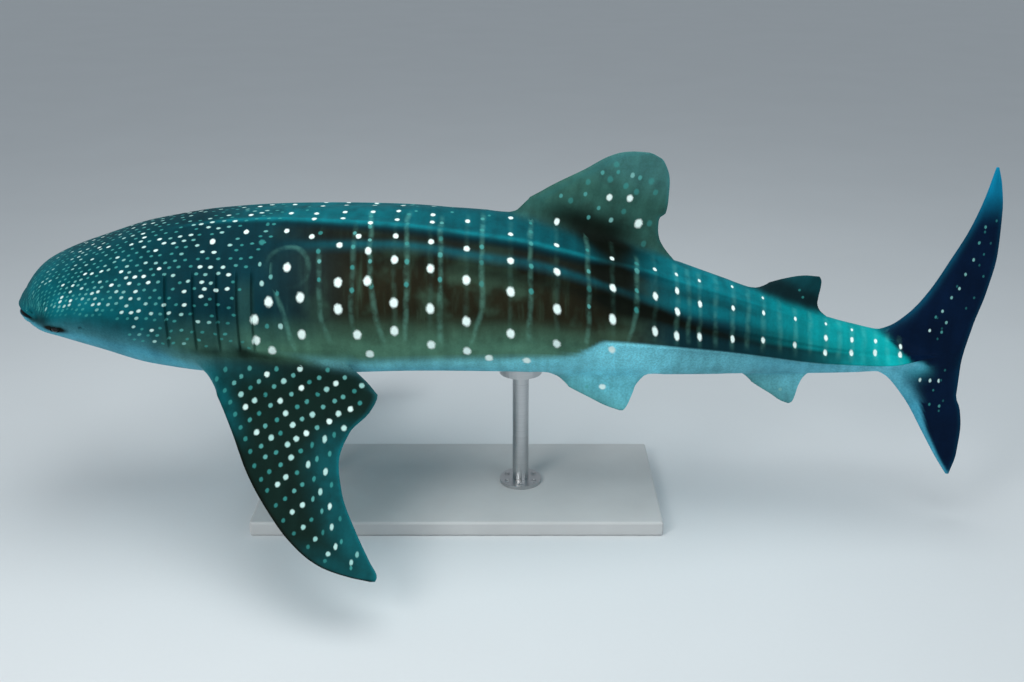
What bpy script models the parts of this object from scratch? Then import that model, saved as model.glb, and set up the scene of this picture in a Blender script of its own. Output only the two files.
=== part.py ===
"""Whale shark, 8.2 m long, as a still display model on a plain stand.

The body is a run of cross-sections along a straight swimming line. Each section is a rounded shape
between a back line and a belly line, with three raised ridges on each side and gill flaps in front of
the pectoral fins. The whole animal is then bent sideways along its swimming curve and stood over the
base. The straight frame has s running from the snout to the tail, y to the animal's right and z up
from the level of its eyes. World axes: the head is at -X, the left side faces -Y, the base rests on Z = 0.
"""
import math

import bmesh
import bpy
import numpy as np
from mathutils import Matrix, Vector

# Fit
GAP = 0.0003

# Where the animal stands: this station is above the middle of the base, eye level is this high
MIDDLE_STATION = 3.4
EYE_LEVEL = 1.75

# Swimming curve, as the turn of the body's heading in degrees
HEAD_TURN = 6.0
HEAD_TURN_END = 2.4
TAIL_TURN = -16.0
TAIL_TURN_START = 4.0
TAIL_TURN_END = 8.2

# Lines of the body against station
HALF_WIDTH = ((0.0, 0.45), (0.1, 0.52), (0.2, 0.555), (0.4, 0.59), (0.7, 0.63), (1.1, 0.67), (1.6, 0.71),
              (2.2, 0.725), (3.0, 0.705), (3.8, 0.64), (4.6, 0.53), (5.2, 0.42), (5.8, 0.31), (6.3, 0.22),
              (6.8, 0.145), (7.0, 0.07), (7.15, 0.02))
BACK_LINE = ((0.0, 0.025), (0.03, 0.07), (0.1, 0.15), (0.2, 0.23), (0.4, 0.34), (0.7, 0.45), (1.1, 0.575),
             (1.6, 0.65), (2.2, 0.675), (3.0, 0.68), (3.8, 0.64), (4.6, 0.435), (5.2, 0.22), (5.8, 0.01),
             (6.3, -0.165), (6.8, -0.265), (7.15, -0.35))
BELLY_LINE = ((0.0, -0.045), (0.03, -0.085), (0.1, -0.13), (0.2, -0.175), (0.4, -0.24), (0.7, -0.335),
              (1.1, -0.475), (1.6, -0.55), (2.2, -0.57), (3.0, -0.56), (3.8, -0.585), (4.6, -0.635),
              (5.2, -0.635), (5.8, -0.62), (6.3, -0.595), (6.8, -0.54), (7.15, -0.45))
WIDEST_SHARE = ((0.0, 0.5), (0.4, 0.5), (1.1, 0.47), (2.2, 0.45), (3.8, 0.44), (5.2, 0.46), (6.3, 0.5), (7.15, 0.5))
BACK_POWER = ((0.0, 2.0), (0.4, 2.2), (1.1, 2.1), (2.2, 2.0), (3.8, 1.8), (5.2, 1.8), (6.3, 1.9), (7.15, 2.0))
BELLY_POWER = ((0.0, 2.0), (0.2, 2.2), (0.7, 2.5), (1.6, 2.5), (3.0, 2.3), (4.6, 2.1), (5.8, 2.0), (7.15, 2.0))

# Front of the head: where its middle starts, and how far its corners lie behind the middle
SNOUT_START = 0.075
SNOUT_LENGTH = 0.3
CORNER_SWEEP = 0.18
SWEEP_LENGTH = 0.9
SWEEP_POWER = 2.6

# Mouth pocket as (depth, half width, half height) from its back to the lips
MOUTH_POCKET = ((0.17, 0.33, 0.010), (0.10, 0.385, 0.016), (0.03, 0.430, 0.022), (0.006, 0.443, 0.028))
MOUTH_LEVEL = -0.01
JAW_HINGE_STATION = 0.32
JAW_END_STATION = 0.58

# Ridges as angle from the back against station, and height against station
RIDGE_ANGLES = (
    ((0.0, 24), (1.8, 18), (2.9, 26), (3.6, 33), (4.3, 37), (5.3, 34), (7.15, 32)),
    ((0.0, 52), (1.9, 42), (2.9, 42.5), (3.6, 49), (4.4, 55), (5.3, 68), (7.15, 76)),
    ((0.0, 104), (3.0, 100), (4.5, 96), (5.3, 96), (6.1, 100), (6.6, 96), (7.15, 90)),
)
RIDGE_HEIGHTS = (
    ((1.3, 0.0), (2.0, 0.018), (3.0, 0.030), (4.3, 0.030), (5.3, 0.020), (6.2, 0.0)),
    ((1.9, 0.0), (2.8, 0.022), (4.0, 0.032), (5.4, 0.026), (6.6, 0.0)),
    ((3.2, 0.0), (4.2, 0.018), (5.4, 0.035), (6.3, 0.075), (6.75, 0.10), (7.0, 0.04), (7.15, 0.0)),
)
RIDGE_RISE = (6.0, 6.0, 8.0)
RIDGE_FALL = (3.0, 3.0, 5.0)

# Gill slits: stations, angles between which they run, and the flap in front of each slit
GILL_SLITS = (1.30, 1.51, 1.69, 1.84, 1.95)
GILL_TOP, GILL_BOTTOM, GILL_FADE = 54.0, 110.0, 7.0
GILL_FLAP = ((-0.060, 0.0), (-0.007, 0.020), (0.002, -0.022), (0.014, -0.014), (0.030, 0.0))

# Stations where the body is divided, and rings along each division
HEAD_END = 1.05
GILLS_END = 2.02
TRUNK_FRONT_END = 3.6
TRUNK_REAR_END = 5.12
STOCK_END = 6.78
STOCK_TIP = 7.13
TIP_ROOT, TIP_ROOT_SHARE = 0.02, 0.9
HEAD_STATIONS = (0.0, 0.008, 0.025, 0.055, 0.1, 0.16, 0.24, 0.34, 0.46, 0.6, 0.75, 0.9)
RING_SPACING = 0.19

# Eye, spiracle and nostril as station and angle from the back
EYE_PLACE = (0.33, 112.0)
EYE_RADIUS = 0.036
EYE_SINK = 0.018
LID_RADIUS = 0.046
LID_TUBE = 0.013
LID_STRETCH = 1.3
SPIRACLE_PLACE = (0.60, 103.0)
SPIRACLE_SIZE = (0.030, 0.018, 0.022)
NOSTRIL_PLACE = (0.045, 62.0)
NOSTRIL_SIZE = (0.018, 0.034, 0.020)

# Fins: front and rear edges and half thickness against the distance q from the root line
DORSAL = dict(
    origin=(3.80, 0.66), slope=-18.0,
    front=((-0.16, 0.02), (0.0, 0.03), (0.24, 0.21), (0.47, 0.44), (0.67, 0.645), (0.72, 0.755), (0.746, 0.86)),
    rear=((-0.16, 0.90), (-0.01, 0.98), (0.012, 1.33), (0.03, 1.35), (0.075, 1.26), (0.13, 1.18), (0.23, 1.125),
          (0.30, 1.11), (0.35, 1.14), (0.52, 1.105), (0.62, 1.07), (0.70, 1.01), (0.736, 0.96), (0.746, 0.90)),
    thick=((-0.16, 0.08), (0.0, 0.07), (0.3, 0.045), (0.6, 0.02), (0.746, 0.006)))
SECOND_DORSAL = dict(
    origin=(5.62, 0.085), slope=-24.0,
    front=((-0.12, 0.0), (0.0, 0.06), (0.08, 0.14), (0.18, 0.25), (0.27, 0.38), (0.305, 0.47)),
    rear=((-0.12, 0.44), (0.0, 0.48), (0.012, 0.68), (0.03, 0.70), (0.07, 0.60), (0.14, 0.555), (0.25, 0.52),
          (0.29, 0.50), (0.305, 0.48)),
    thick=((-0.12, 0.04), (0.0, 0.034), (0.2, 0.016), (0.305, 0.004)))
ANAL = dict(
    origin=(5.545, -0.622), slope=4.0,
    front=((-0.12, 0.02), (0.0, 0.06), (0.12, 0.19), (0.22, 0.33), (0.28, 0.41), (0.30, 0.46)),
    rear=((-0.12, 0.42), (0.0, 0.50), (0.012, 0.62), (0.03, 0.64), (0.08, 0.58), (0.15, 0.54), (0.25, 0.51),
          (0.29, 0.49), (0.30, 0.47)),
    thick=((-0.12, 0.035), (0.0, 0.03), (0.2, 0.014), (0.30, 0.004)))
PELVIC = dict(
    root=(0.16, -0.50), droop=50.0,
    front=((-0.10, 4.05), (0.08, 4.12), (0.18, 4.22), (0.30, 4.43), (0.37, 4.57), (0.40, 4.66)),
    rear=((-0.10, 4.60), (0.06, 4.68), (0.10, 4.86), (0.13, 4.88), (0.19, 4.80), (0.28, 4.76), (0.38, 4.71),
          (0.40, 4.69)),
    thick=((-0.10, 0.04), (0.1, 0.03), (0.3, 0.014), (0.40, 0.004)))
PECTORAL = dict(
    root=(0.55, -0.33),
    front=((-0.28, 1.40), (0.0, 1.46), (0.26, 1.63), (0.60, 1.80), (0.95, 1.96), (1.25, 2.15), (1.49, 2.345),
           (1.65, 2.55), (1.73, 2.78), (1.75, 2.88)),
    rear=((-0.28, 2.25), (0.0, 2.48), (0.10, 2.69), (0.20, 2.80), (0.32, 2.85), (0.46, 2.80), (0.62, 2.67),
          (0.85, 2.61), (1.10, 2.65), (1.40, 2.77), (1.62, 2.88), (1.72, 2.93), (1.75, 2.92)),
    thick=((-0.28, 0.12), (0.0, 0.09), (0.4, 0.055), (1.0, 0.03), (1.75, 0.006)))
PECTORAL_DROOP = {-1: 36.0, 1: 27.0}
CAUDAL = dict(
    origin=(0.0, 0.0), slope=0.0,
    front=((-1.39, 7.285), (-1.25, 7.19), (-1.05, 7.07), (-0.80, 6.92), (-0.56, 6.72), (-0.40, 6.66),
           (-0.24, 6.69), (-0.07, 6.87), (0.11, 6.99), (0.36, 7.11), (0.60, 7.215), (0.85, 7.29), (1.07, 7.335)),
    rear=((-1.39, 7.31), (-1.21, 7.345), (-1.01, 7.35), (-0.83, 7.325), (-0.72, 7.285), (-0.49, 7.285),
          (-0.15, 7.33), (0.12, 7.39), (0.44, 7.43), (0.75, 7.42), (0.95, 7.39), (1.07, 7.355)),
    thick=((-1.39, 0.005), (-1.0, 0.022), (-0.7, 0.04), (-0.40, 0.06), (-0.1, 0.05), (0.4, 0.028), (1.07, 0.005)))
FORK_LEVEL = -0.62
EDGE_HALF = 0.003
FIN_CHORD_STEPS = 9
FIN_ROW_GAP = 0.15

# Stand
BASE_SIZE = (3.2, 1.4, 0.12)
BASE_EDGE = 0.02
ROD_STATIONS = {"front": 2.2, "rear": 3.9}
ROD_RADIUS = 0.065
FLANGE_RADIUS, FLANGE_HEIGHT = 0.17, 0.03
SADDLE_RADIUS, SADDLE_DEPTH = 0.17, 0.07
ROUND_SIDES = 32


def through(pairs, at):
    """Smooth curve through (place, value) pairs that never overshoots them."""
    x, y = np.array(pairs, float).T
    at = np.asarray(at, float)
    step = np.diff(x)
    slope = np.diff(y) / step
    tangent = np.empty_like(y)
    tangent[0], tangent[-1] = slope[0], slope[-1]
    same_way = slope[:-1] * slope[1:] > 0
    before, after = 2 * step[1:] + step[:-1], step[1:] + 2 * step[:-1]
    safe = np.where(same_way, slope[:-1], 1.0), np.where(same_way, slope[1:], 1.0)
    tangent[1:-1] = np.where(same_way, (before + after) / (before / safe[0] + after / safe[1]), 0.0)
    k = np.clip(np.searchsorted(x, at, side="right") - 1, 0, len(x) - 2)
    u = np.clip((at - x[k]) / step[k], 0.0, 1.0)
    return ((1 + 2 * u) * (1 - u) ** 2 * y[k] + u * (1 - u) ** 2 * step[k] * tangent[k]
            + u * u * (3 - 2 * u) * y[k + 1] + u * u * (u - 1) * step[k] * tangent[k + 1])


def ease(x):
    """Smooth step from 0 at x = 0 to 1 at x = 1."""
    x = np.clip(x, 0.0, 1.0)
    return x * x * (3 - 2 * x)


def heading(s):
    """Heading of the swimming curve in radians, from +X towards +Y."""
    tail = TAIL_TURN * ease((s - TAIL_TURN_START) / (TAIL_TURN_END - TAIL_TURN_START))
    head = HEAD_TURN * (1 - ease(s / HEAD_TURN_END))
    return np.radians(tail + head)


CURVE_S = np.linspace(-1.0, 9.0, 2001)
CURVE_STEP = CURVE_S[1] - CURVE_S[0]
CURVE_X = np.concatenate([[0.0], np.cumsum(np.cos(heading(CURVE_S[:-1] + CURVE_STEP / 2))) * CURVE_STEP])
CURVE_Y = np.concatenate([[0.0], np.cumsum(np.sin(heading(CURVE_S[:-1] + CURVE_STEP / 2))) * CURVE_STEP])
CURVE_X -= np.interp(MIDDLE_STATION, CURVE_S, CURVE_X)
CURVE_Y -= np.interp(MIDDLE_STATION, CURVE_S, CURVE_Y)


def posed(points):
    """World places of points given in the straight frame."""
    points = np.asarray(points, float)
    s, y, z = points[..., 0], points[..., 1], points[..., 2]
    turn = heading(s)
    return np.stack([np.interp(s, CURVE_S, CURVE_X) - y * np.sin(turn),
                     np.interp(s, CURVE_S, CURVE_Y) + y * np.cos(turn),
                     z + EYE_LEVEL], axis=-1)


def ridge_relief(t, angle):
    """Height of the ridges: a gentle rise from above and a steep fall below each crest."""
    relief = np.zeros(np.broadcast(t, angle).shape)
    for angles, heights, rise, fall in zip(RIDGE_ANGLES, RIDGE_HEIGHTS, RIDGE_RISE, RIDGE_FALL):
        off = angle - through(angles, t)
        width = np.where(off < 0, rise, fall)
        here = (t > heights[0][0]) & (t < heights[-1][0])
        relief = relief + np.where(here, through(heights, t), 0.0) * np.exp(-(off / width) ** 2)
    return relief


def gill_relief(t, angle):
    """Height of the gill flaps: each rises tailward and drops into its slit."""
    mask = ease((angle - GILL_TOP) / GILL_FADE) * ease((GILL_BOTTOM - angle) / GILL_FADE)
    offsets, heights = np.array(GILL_FLAP).T
    return mask * sum(np.interp(t - slit, offsets, heights, left=0.0, right=0.0) for slit in GILL_SLITS)


def body_point(t, phi):
    """Straight-frame point of the body at station t and angle phi, 0 on the back, +90 left, -90 right."""
    t, phi = np.broadcast_arrays(np.asarray(t, float), np.asarray(phi, float))
    width, back, belly = through(HALF_WIDTH, t), through(BACK_LINE, t), through(BELLY_LINE, t)
    level = belly + through(WIDEST_SHARE, t) * (back - belly)
    across, upward = np.sin(np.radians(phi)), np.cos(np.radians(phi))
    power = np.where(upward >= 0, through(BACK_POWER, t), through(BELLY_POWER, t))
    half = np.where(upward >= 0, back - level, level - belly)
    y = -width * np.sign(across) * np.abs(across) ** (2 / power)
    z = level + half * np.sign(upward) * np.abs(upward) ** (2 / power)
    out_y, out_z = -across * half, upward * width
    length = np.hypot(out_y, out_z) + 1e-9
    angle = np.abs(phi)
    relief = ridge_relief(t, angle) + gill_relief(t, angle)
    s = t + SNOUT_START * (1 - ease(t / SNOUT_LENGTH))
    s = s + CORNER_SWEEP * (1 - ease(t / SWEEP_LENGTH)) * np.abs(y / width) ** SWEEP_POWER
    return np.stack([s, y + relief * out_y / length, z + relief * out_z / length], axis=-1)


def ring_angles(t):
    """Angles of one ring's corners at station t, with corners on the crest and feet of each ridge."""
    crest = [float(through(angles, t)) for angles in RIDGE_ANGLES]
    half = [0.0, (crest[0] - RIDGE_RISE[0]) / 2]
    for k, at in enumerate(crest):
        if k == 1:
            half.append((crest[0] + RIDGE_FALL[0] * 1.4 + at - RIDGE_RISE[1]) / 2)
        if k == 2:
            low, high = crest[1] + RIDGE_FALL[1] * 1.4, at - RIDGE_RISE[2]
            half += [low + (high - low) / 3, low + (high - low) * 2 / 3]
        half += [at - RIDGE_RISE[k], at - RIDGE_RISE[k] * 0.35, at, at + RIDGE_FALL[k] * 1.4]
    half += list(np.linspace(half[-1], 180.0, 8)[1:-1])
    return np.array(half + [180.0] + [-a for a in half[:0:-1]])


def body_ring(t, grow=0.0):
    """World corners of the ring at station t, moved outwards by grow."""
    angles = ring_angles(t)
    ring = posed(body_point(t, angles))
    if grow:
        small = 1e-4
        along = posed(body_point(t + small, angles)) - posed(body_point(t - small, angles))
        around = np.roll(ring, -1, axis=0) - np.roll(ring, 1, axis=0)
        outward = np.cross(around, along)
        ring = ring + grow * outward / np.linalg.norm(outward, axis=1, keepdims=True)
    return ring


def mouth_ring(depth, half_width, half_height):
    """World corners of one ring of the mouth pocket."""
    phi = np.radians(ring_angles(0.0))
    y, z = -half_width * np.sin(phi), half_height * np.cos(phi)
    s = SNOUT_START + depth + CORNER_SWEEP * np.abs(y / HALF_WIDTH[0][1]) ** SWEEP_POWER
    return posed(np.stack([s, y, MOUTH_LEVEL + z], axis=-1))


def stations(start, end, extra=()):
    """Evenly spaced stations from start to end, with extra ones added."""
    even = np.linspace(start, end, 1 + max(2, round((end - start) / RING_SPACING)))
    clear = [s for s in even[1:-1] if all(abs(s - e) > 0.03 for e in extra)]
    return sorted([start, end] + clear + list(extra))


PART = bpy.data.collections.new("whale_shark")
CUTTERS = bpy.data.collections.new("cutters")


def material(name, colour, roughness, metallic=0.0):
    """A plain Principled material."""
    made = bpy.data.materials.new(name)
    made.use_nodes = True
    shader = made.node_tree.nodes["Principled BSDF"]
    shader.inputs["Base Color"].default_value = (*colour, 1.0)
    shader.inputs["Roughness"].default_value = roughness
    shader.inputs["Metallic"].default_value = metallic
    made.diffuse_color = (*colour, 1.0)
    return made


def new_object(name, mesh, finish=None):
    """Put a mesh in a named object, among the parts if it has a finish and else among the cutters."""
    made = bpy.data.objects.new(name, mesh)
    if finish:
        mesh.materials.append(finish)
    (PART if finish else CUTTERS).objects.link(made)
    return made


def mesh_from(name, vertices, faces):
    """A mesh with its faces turned outwards."""
    mesh = bpy.data.meshes.new(name)
    mesh.from_pydata([tuple(v) for v in vertices], [], faces)
    work = bmesh.new()
    work.from_mesh(mesh)
    bmesh.ops.recalc_face_normals(work, faces=work.faces)
    work.to_mesh(mesh)
    work.free()
    return mesh


def loft(name, rings, finish=None):
    """A closed solid over rings of equal count, with a flat face on each end."""
    rings = [np.asarray(r) for r in rings]
    count = len(rings[0])
    faces = [tuple(range(count)), tuple(range(count * (len(rings) - 1), count * len(rings)))]
    for row in range(len(rings) - 1):
        for k in range(count):
            a, b = row * count + k, row * count + (k + 1) % count
            faces += [(a, b, b + count), (a, b + count, a + count)]
    return new_object(name, mesh_from(name, np.concatenate(rings), faces), finish)


def applied(target):
    """Apply a target's modifiers and keep only its largest closed surface."""
    bpy.context.view_layer.update()
    result = bpy.data.meshes.new_from_object(target.evaluated_get(bpy.context.evaluated_depsgraph_get()))
    target.modifiers.clear()
    target.data = result
    work = bmesh.new()
    work.from_mesh(result)
    bmesh.ops.triangulate(work, faces=work.faces)
    left, shells = set(work.faces), []
    while left:
        shell, front = set(), [left.pop()]
        while front:
            face = front.pop()
            shell.add(face)
            touching = {f for edge in face.edges for f in edge.link_faces} & left
            left -= touching
            front += touching
        shells.append(shell)
    shells.sort(key=lambda shell: sum(f.calc_area() for f in shell))
    scraps = [f for shell in shells[:-1] for f in shell]
    bmesh.ops.delete(work, geom=scraps, context="FACES")
    bmesh.ops.dissolve_degenerate(work, dist=1e-6, edges=work.edges)
    work.to_mesh(result)
    work.free()
    return target


def combine(target, other, operation, keep_other=False):
    """Boolean of target with other, applied at once."""
    change = target.modifiers.new(operation.lower(), "BOOLEAN")
    change.operation = operation
    change.solver = "EXACT"
    change.object = other
    applied(target)
    if not keep_other:
        bpy.data.objects.remove(other)
    return target


def adopted(name, matrix, finish=None):
    """Name and place the primitive just added, and move it among the parts or the cutters."""
    primitive = bpy.context.object
    mesh = primitive.data
    bpy.data.objects.remove(primitive)
    mesh.transform(matrix)
    return new_object(name, mesh, finish)


def block(name, low, high, finish=None):
    """A box between two corners."""
    low, high = Vector(low), Vector(high)
    bpy.ops.mesh.primitive_cube_add(size=1.0)
    return adopted(name, Matrix.Translation((low + high) / 2) @ Matrix.Diagonal((*(high - low), 1.0)), finish)


def cylinder(name, radius, low, high, x, y, finish):
    """An upright cylinder between two heights."""
    bpy.ops.mesh.primitive_cylinder_add(vertices=ROUND_SIDES, radius=radius, depth=high - low)
    return adopted(name, Matrix.Translation((x, y, (low + high) / 2)), finish)


def skin_frame(place, side):
    """Matrix at a place on the skin: X along the body, Y across it, Z out of the skin."""
    t, phi = place
    phi = phi * -side
    small = 1e-3
    centre = posed(body_point(t, phi))
    along = posed(body_point(t + small, phi)) - posed(body_point(t - small, phi))
    around = posed(body_point(t, phi + 0.1)) - posed(body_point(t, phi - 0.1))
    out = Vector(np.cross(around, along)).normalized()
    x = Vector(along).normalized()
    y = out.cross(x).normalized()
    x = y.cross(out)
    frame = Matrix((x, y, out)).transposed().to_4x4()
    frame.translation = Vector(centre)
    return frame


def ball(name, frame, offset, size, finish=None, segments=16):
    """An ellipsoid of half sizes (along, across, out), set off from a skin frame along its own axes."""
    work = bmesh.new()
    matrix = frame @ Matrix.Translation(offset) @ Matrix.Diagonal((*size, 1.0))
    bmesh.ops.create_uvsphere(work, u_segments=segments, v_segments=segments // 2, radius=1.0, matrix=matrix)
    mesh = bpy.data.meshes.new(name)
    work.to_mesh(mesh)
    work.free()
    return new_object(name, mesh, finish)


def lid_ring(name, frame):
    """A raised ring of skin round the eye, longer along the body than across it."""
    bpy.ops.mesh.primitive_torus_add(major_radius=LID_RADIUS, minor_radius=LID_TUBE, major_segments=20,
                                     minor_segments=8)
    return adopted(name, frame @ Matrix.Diagonal((LID_STRETCH, 1.0, 1.0, 1.0)))


def aerofoil(c):
    """Half thickness of a rounded, tapering section at share c of its chord, with a greatest value of 1."""
    return 10 * (0.2969 * np.sqrt(c) - 0.126 * c - 0.3516 * c ** 2 + 0.2843 * c ** 3 - 0.1036 * c ** 4)


def fin_rows(spec):
    """Distances from the root line at which a fin has a section."""
    named = sorted({q for q, _ in spec["front"]} | {q for q, _ in spec["rear"]})
    rows = [named[0]]
    for low, high in zip(named, named[1:]):
        parts = max(1, math.ceil((high - low) / FIN_ROW_GAP))
        rows += list(np.linspace(low, high, parts + 1)[1:])
    return [q for k, q in enumerate(rows) if k == 0 or q - rows[k - 1] > 1e-6]


def fin(name, spec, place, finish):
    """A closed fin lofted from its sunken root to its tip, the two faces split into triangles alike."""
    share = (1 - np.cos(np.linspace(0, math.pi, FIN_CHORD_STEPS + 1))) / 2
    rings = []
    for q in fin_rows(spec):
        front, rear = through(spec["front"], q), through(spec["rear"], q)
        half = through(spec["thick"], q) * aerofoil(share) + EDGE_HALF * share
        chord = front + (rear - front) * share
        c = np.concatenate([chord, chord[:0:-1]])
        n = np.concatenate([half, -half[:0:-1]])
        rings.append(posed(place(c, np.full_like(c, q), n)))
    count = len(rings[0])
    faces = [tuple(range(count)), tuple(range(count * (len(rings) - 1), count * len(rings)))]
    for row in range(len(rings) - 1):
        for k in range(count):
            a, b = row * count + k, row * count + (k + 1) % count
            if k < count // 2:
                faces += [(a, b, b + count), (a, b + count, a + count)]
            else:
                faces += [(a, b, a + count), (b, b + count, a + count)]
    return new_object(name, mesh_from(name, np.concatenate(rings), faces), finish)


def upright(spec, down=False):
    """Placing of a fin on the animal's middle plane, its root line from origin along slope."""
    a = math.radians(spec["slope"])
    turn = -1 if down else 1

    def place(c, q, n):
        s = spec["origin"][0] + c * math.cos(a) - turn * q * math.sin(a)
        z = spec["origin"][1] + c * math.sin(a) + turn * q * math.cos(a)
        return np.stack([s, n, z], axis=-1)
    return place


def paired(spec, side, droop):
    """Placing of a fin at one side, drooping from its root point. Side is -1 on the left, 1 on the right."""
    a = math.radians(droop)
    across, height = spec["root"]

    def place(c, q, n):
        y = side * (across + q * math.cos(a) + n * math.sin(a))
        return np.stack([c, y, height - q * math.sin(a) + n * math.cos(a)], axis=-1)
    return place


def jaw_wedge(name, grow=0.0):
    """The space of the lower jaw: under the mouth's level and in front of the throat."""
    reach, depth = 0.9, -0.8
    fall = math.atan2(MOUTH_LEVEL - depth, JAW_END_STATION - JAW_HINGE_STATION)
    top = MOUTH_LEVEL + grow
    hinge = JAW_HINGE_STATION + grow * math.tan(fall / 2)
    end = JAW_END_STATION + grow / math.sin(fall)
    corners = np.array([(-0.4, top), (hinge, top), (end, depth), (-0.4, depth)])
    rings = [posed(np.stack([corners[:, 0], np.full(4, y), corners[:, 1]], axis=-1)) for y in (-reach, reach)]
    return loft(name, rings)


def build_head(skin, pale, eye_finish):
    """Head, lower jaw and eyes, with the mouth pocket, lids, nostrils and spiracles."""
    rings = [mouth_ring(*row) for row in MOUTH_POCKET]
    rings += [body_ring(t) for t in (*HEAD_STATIONS, HEAD_END - GAP / 2)]
    head = loft("head", rings, skin)
    jaw = loft("lower_jaw", rings, pale)
    combine(jaw, jaw_wedge("jaw_wedge"), "INTERSECT")
    combine(head, jaw_wedge("jaw_wedge_grown", GAP), "DIFFERENCE")
    for side, name in ((-1, "left"), (1, "right")):
        frame = skin_frame(EYE_PLACE, side)
        combine(head, lid_ring("lid_" + name, frame), "UNION")
        sink = (0, 0, -EYE_SINK)
        combine(head, ball("socket_" + name, frame, sink, [EYE_RADIUS + GAP] * 3), "DIFFERENCE")
        ball("eye_" + name, frame, sink, [EYE_RADIUS - GAP] * 3, eye_finish)
        combine(head, ball("spiracle_" + name, skin_frame(SPIRACLE_PLACE, side), (0, 0, 0), SPIRACLE_SIZE),
                "DIFFERENCE")
        combine(head, ball("nostril_" + name, skin_frame(NOSTRIL_PLACE, side), (0, 0, 0), NOSTRIL_SIZE),
                "DIFFERENCE")


def build_body(skin):
    """The divisions of the body behind the head, each between two flat faces."""
    slits = [slit + offset for slit in GILL_SLITS for offset, _ in GILL_FLAP]
    crowded = {b for a, b in zip(slits, slits[1:]) if b - a < 0.004}
    slits = [s for s in slits if s not in crowded]
    divisions = (("gill_region", HEAD_END, GILLS_END, sorted(slits)),
                 ("trunk_front", GILLS_END, TRUNK_FRONT_END, ()),
                 ("trunk_rear", TRUNK_FRONT_END, TRUNK_REAR_END, ()),
                 ("tail_stock", TRUNK_REAR_END, STOCK_END, ()))
    for name, start, end, extra in divisions:
        loft(name, [body_ring(t) for t in stations(start + GAP / 2, end - GAP / 2, extra)], skin)
    every = [t for name, start, end, extra in divisions for t in stations(start + GAP / 2, end - GAP / 2, extra)]
    every[-1] = STOCK_END + GAP / 2
    return loft("body_grown", [body_ring(t, GAP) for t in every])


def build_fins(body_grown, skin, pale):
    """All the fins, each cut back to the body it grows from."""
    made = [fin("first_dorsal_fin", DORSAL, upright(DORSAL), skin),
            fin("second_dorsal_fin", SECOND_DORSAL, upright(SECOND_DORSAL), skin),
            fin("anal_fin", ANAL, upright(ANAL, down=True), pale)]
    for side, name in ((-1, "left"), (1, "right")):
        made.append(fin("pectoral_fin_" + name, PECTORAL, paired(PECTORAL, side, PECTORAL_DROOP[side]), skin))
        made.append(fin("pelvic_fin_" + name, PELVIC, paired(PELVIC, side, PELVIC["droop"]), pale))
    for each in made:
        combine(each, body_grown, "DIFFERENCE", keep_other=True)
    upper = fin("caudal_fin_upper_lobe", CAUDAL, upright(CAUDAL), skin)
    rings = [body_ring(t) for t in stations(STOCK_END + GAP / 2, STOCK_TIP)]
    middle = rings[0].mean(axis=0)
    tailward = posed((STOCK_END, 0, 0)) - posed((STOCK_END - TIP_ROOT, 0, 0))
    tip = loft("stock_tip", [middle + TIP_ROOT_SHARE * (rings[0] - middle) - tailward] + rings)
    combine(upper, tip, "UNION")
    combine(upper, body_grown, "DIFFERENCE", keep_other=True)
    copied = upper.data.copy()
    copied.materials.clear()
    lower = new_object("caudal_fin_lower_lobe", copied, skin)
    level, far = EYE_LEVEL + FORK_LEVEL, 9.0
    combine(upper, block("above", (-far, -far, level + GAP / 2), (far, far, far)), "INTERSECT")
    combine(lower, block("below", (-far, -far, -far), (far, far, level - GAP / 2)), "INTERSECT")


def build_stand(body_grown, base_finish, steel):
    """A flat base with two short rods, each from a flange to a saddle shaped to the belly."""
    length, width, height = BASE_SIZE
    base = block("stand_base", (-length / 2, -width / 2, 0), (length / 2, width / 2, height), base_finish)
    edge = base.modifiers.new("edge", "BEVEL")
    edge.width = BASE_EDGE
    edge.segments = 3
    for name, station in ROD_STATIONS.items():
        x, y, belly = posed((station, 0.0, float(through(BELLY_LINE, station))))
        flange_top = height + GAP + FLANGE_HEIGHT
        cylinder("stand_flange_" + name, FLANGE_RADIUS, height + GAP, flange_top, x, y, steel)
        cylinder("stand_rod_" + name, ROD_RADIUS, flange_top + GAP, belly - SADDLE_DEPTH - GAP, x, y, steel)
        saddle = cylinder("stand_saddle_" + name, SADDLE_RADIUS, belly - SADDLE_DEPTH, belly + SADDLE_DEPTH, x, y,
                          steel)
        combine(saddle, body_grown, "DIFFERENCE", keep_other=True)


def main():
    """Build the shark and its stand."""
    for old in list(bpy.data.objects):
        bpy.data.objects.remove(old)
    for collection in (PART, CUTTERS):
        bpy.context.scene.collection.children.link(collection)
    skin = material("shark_skin", (0.03, 0.09, 0.10), 0.45)
    pale = material("pale_skin", (0.45, 0.55, 0.52), 0.5)
    eye_finish = material("eye", (0.01, 0.012, 0.015), 0.1)
    base_finish = material("base_board", (0.62, 0.62, 0.60), 0.55)
    steel = material("stand_steel", (0.5, 0.5, 0.52), 0.3, 1.0)
    build_head(skin, pale, eye_finish)
    body_grown = build_body(skin)
    build_fins(body_grown, skin, pale)
    build_stand(body_grown, base_finish, steel)
    bpy.data.objects.remove(body_grown)
    for each in PART.objects:
        each.data.shade_smooth()
        each.data.set_sharp_from_angle(angle=math.radians(40))


main()
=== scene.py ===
"""Whale shark, 8.2 m long, dressed as a life-size museum model on a plain stand.

The flesh is one skin: a body lofted over rounded sections, joined to its fins and smoothed where they meet.
The skin carries its own flat maps. On the body a place has a length along the animal and a length around it
from the back; on a fin it has a length along the chord and a length out from the root. Spots, bars and the
ground colours are laid out on these maps, so they follow the animal and not the room.

The straight frame has s running from the snout to the tail, y to the animal's right and z up from the level
of its eyes. The swimming curve then bends it. World axes: the head is at -X, the left side faces -Y.
"""
from __future__ import annotations

import logging
import math
from dataclasses import dataclass, field
from enum import Enum

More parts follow.
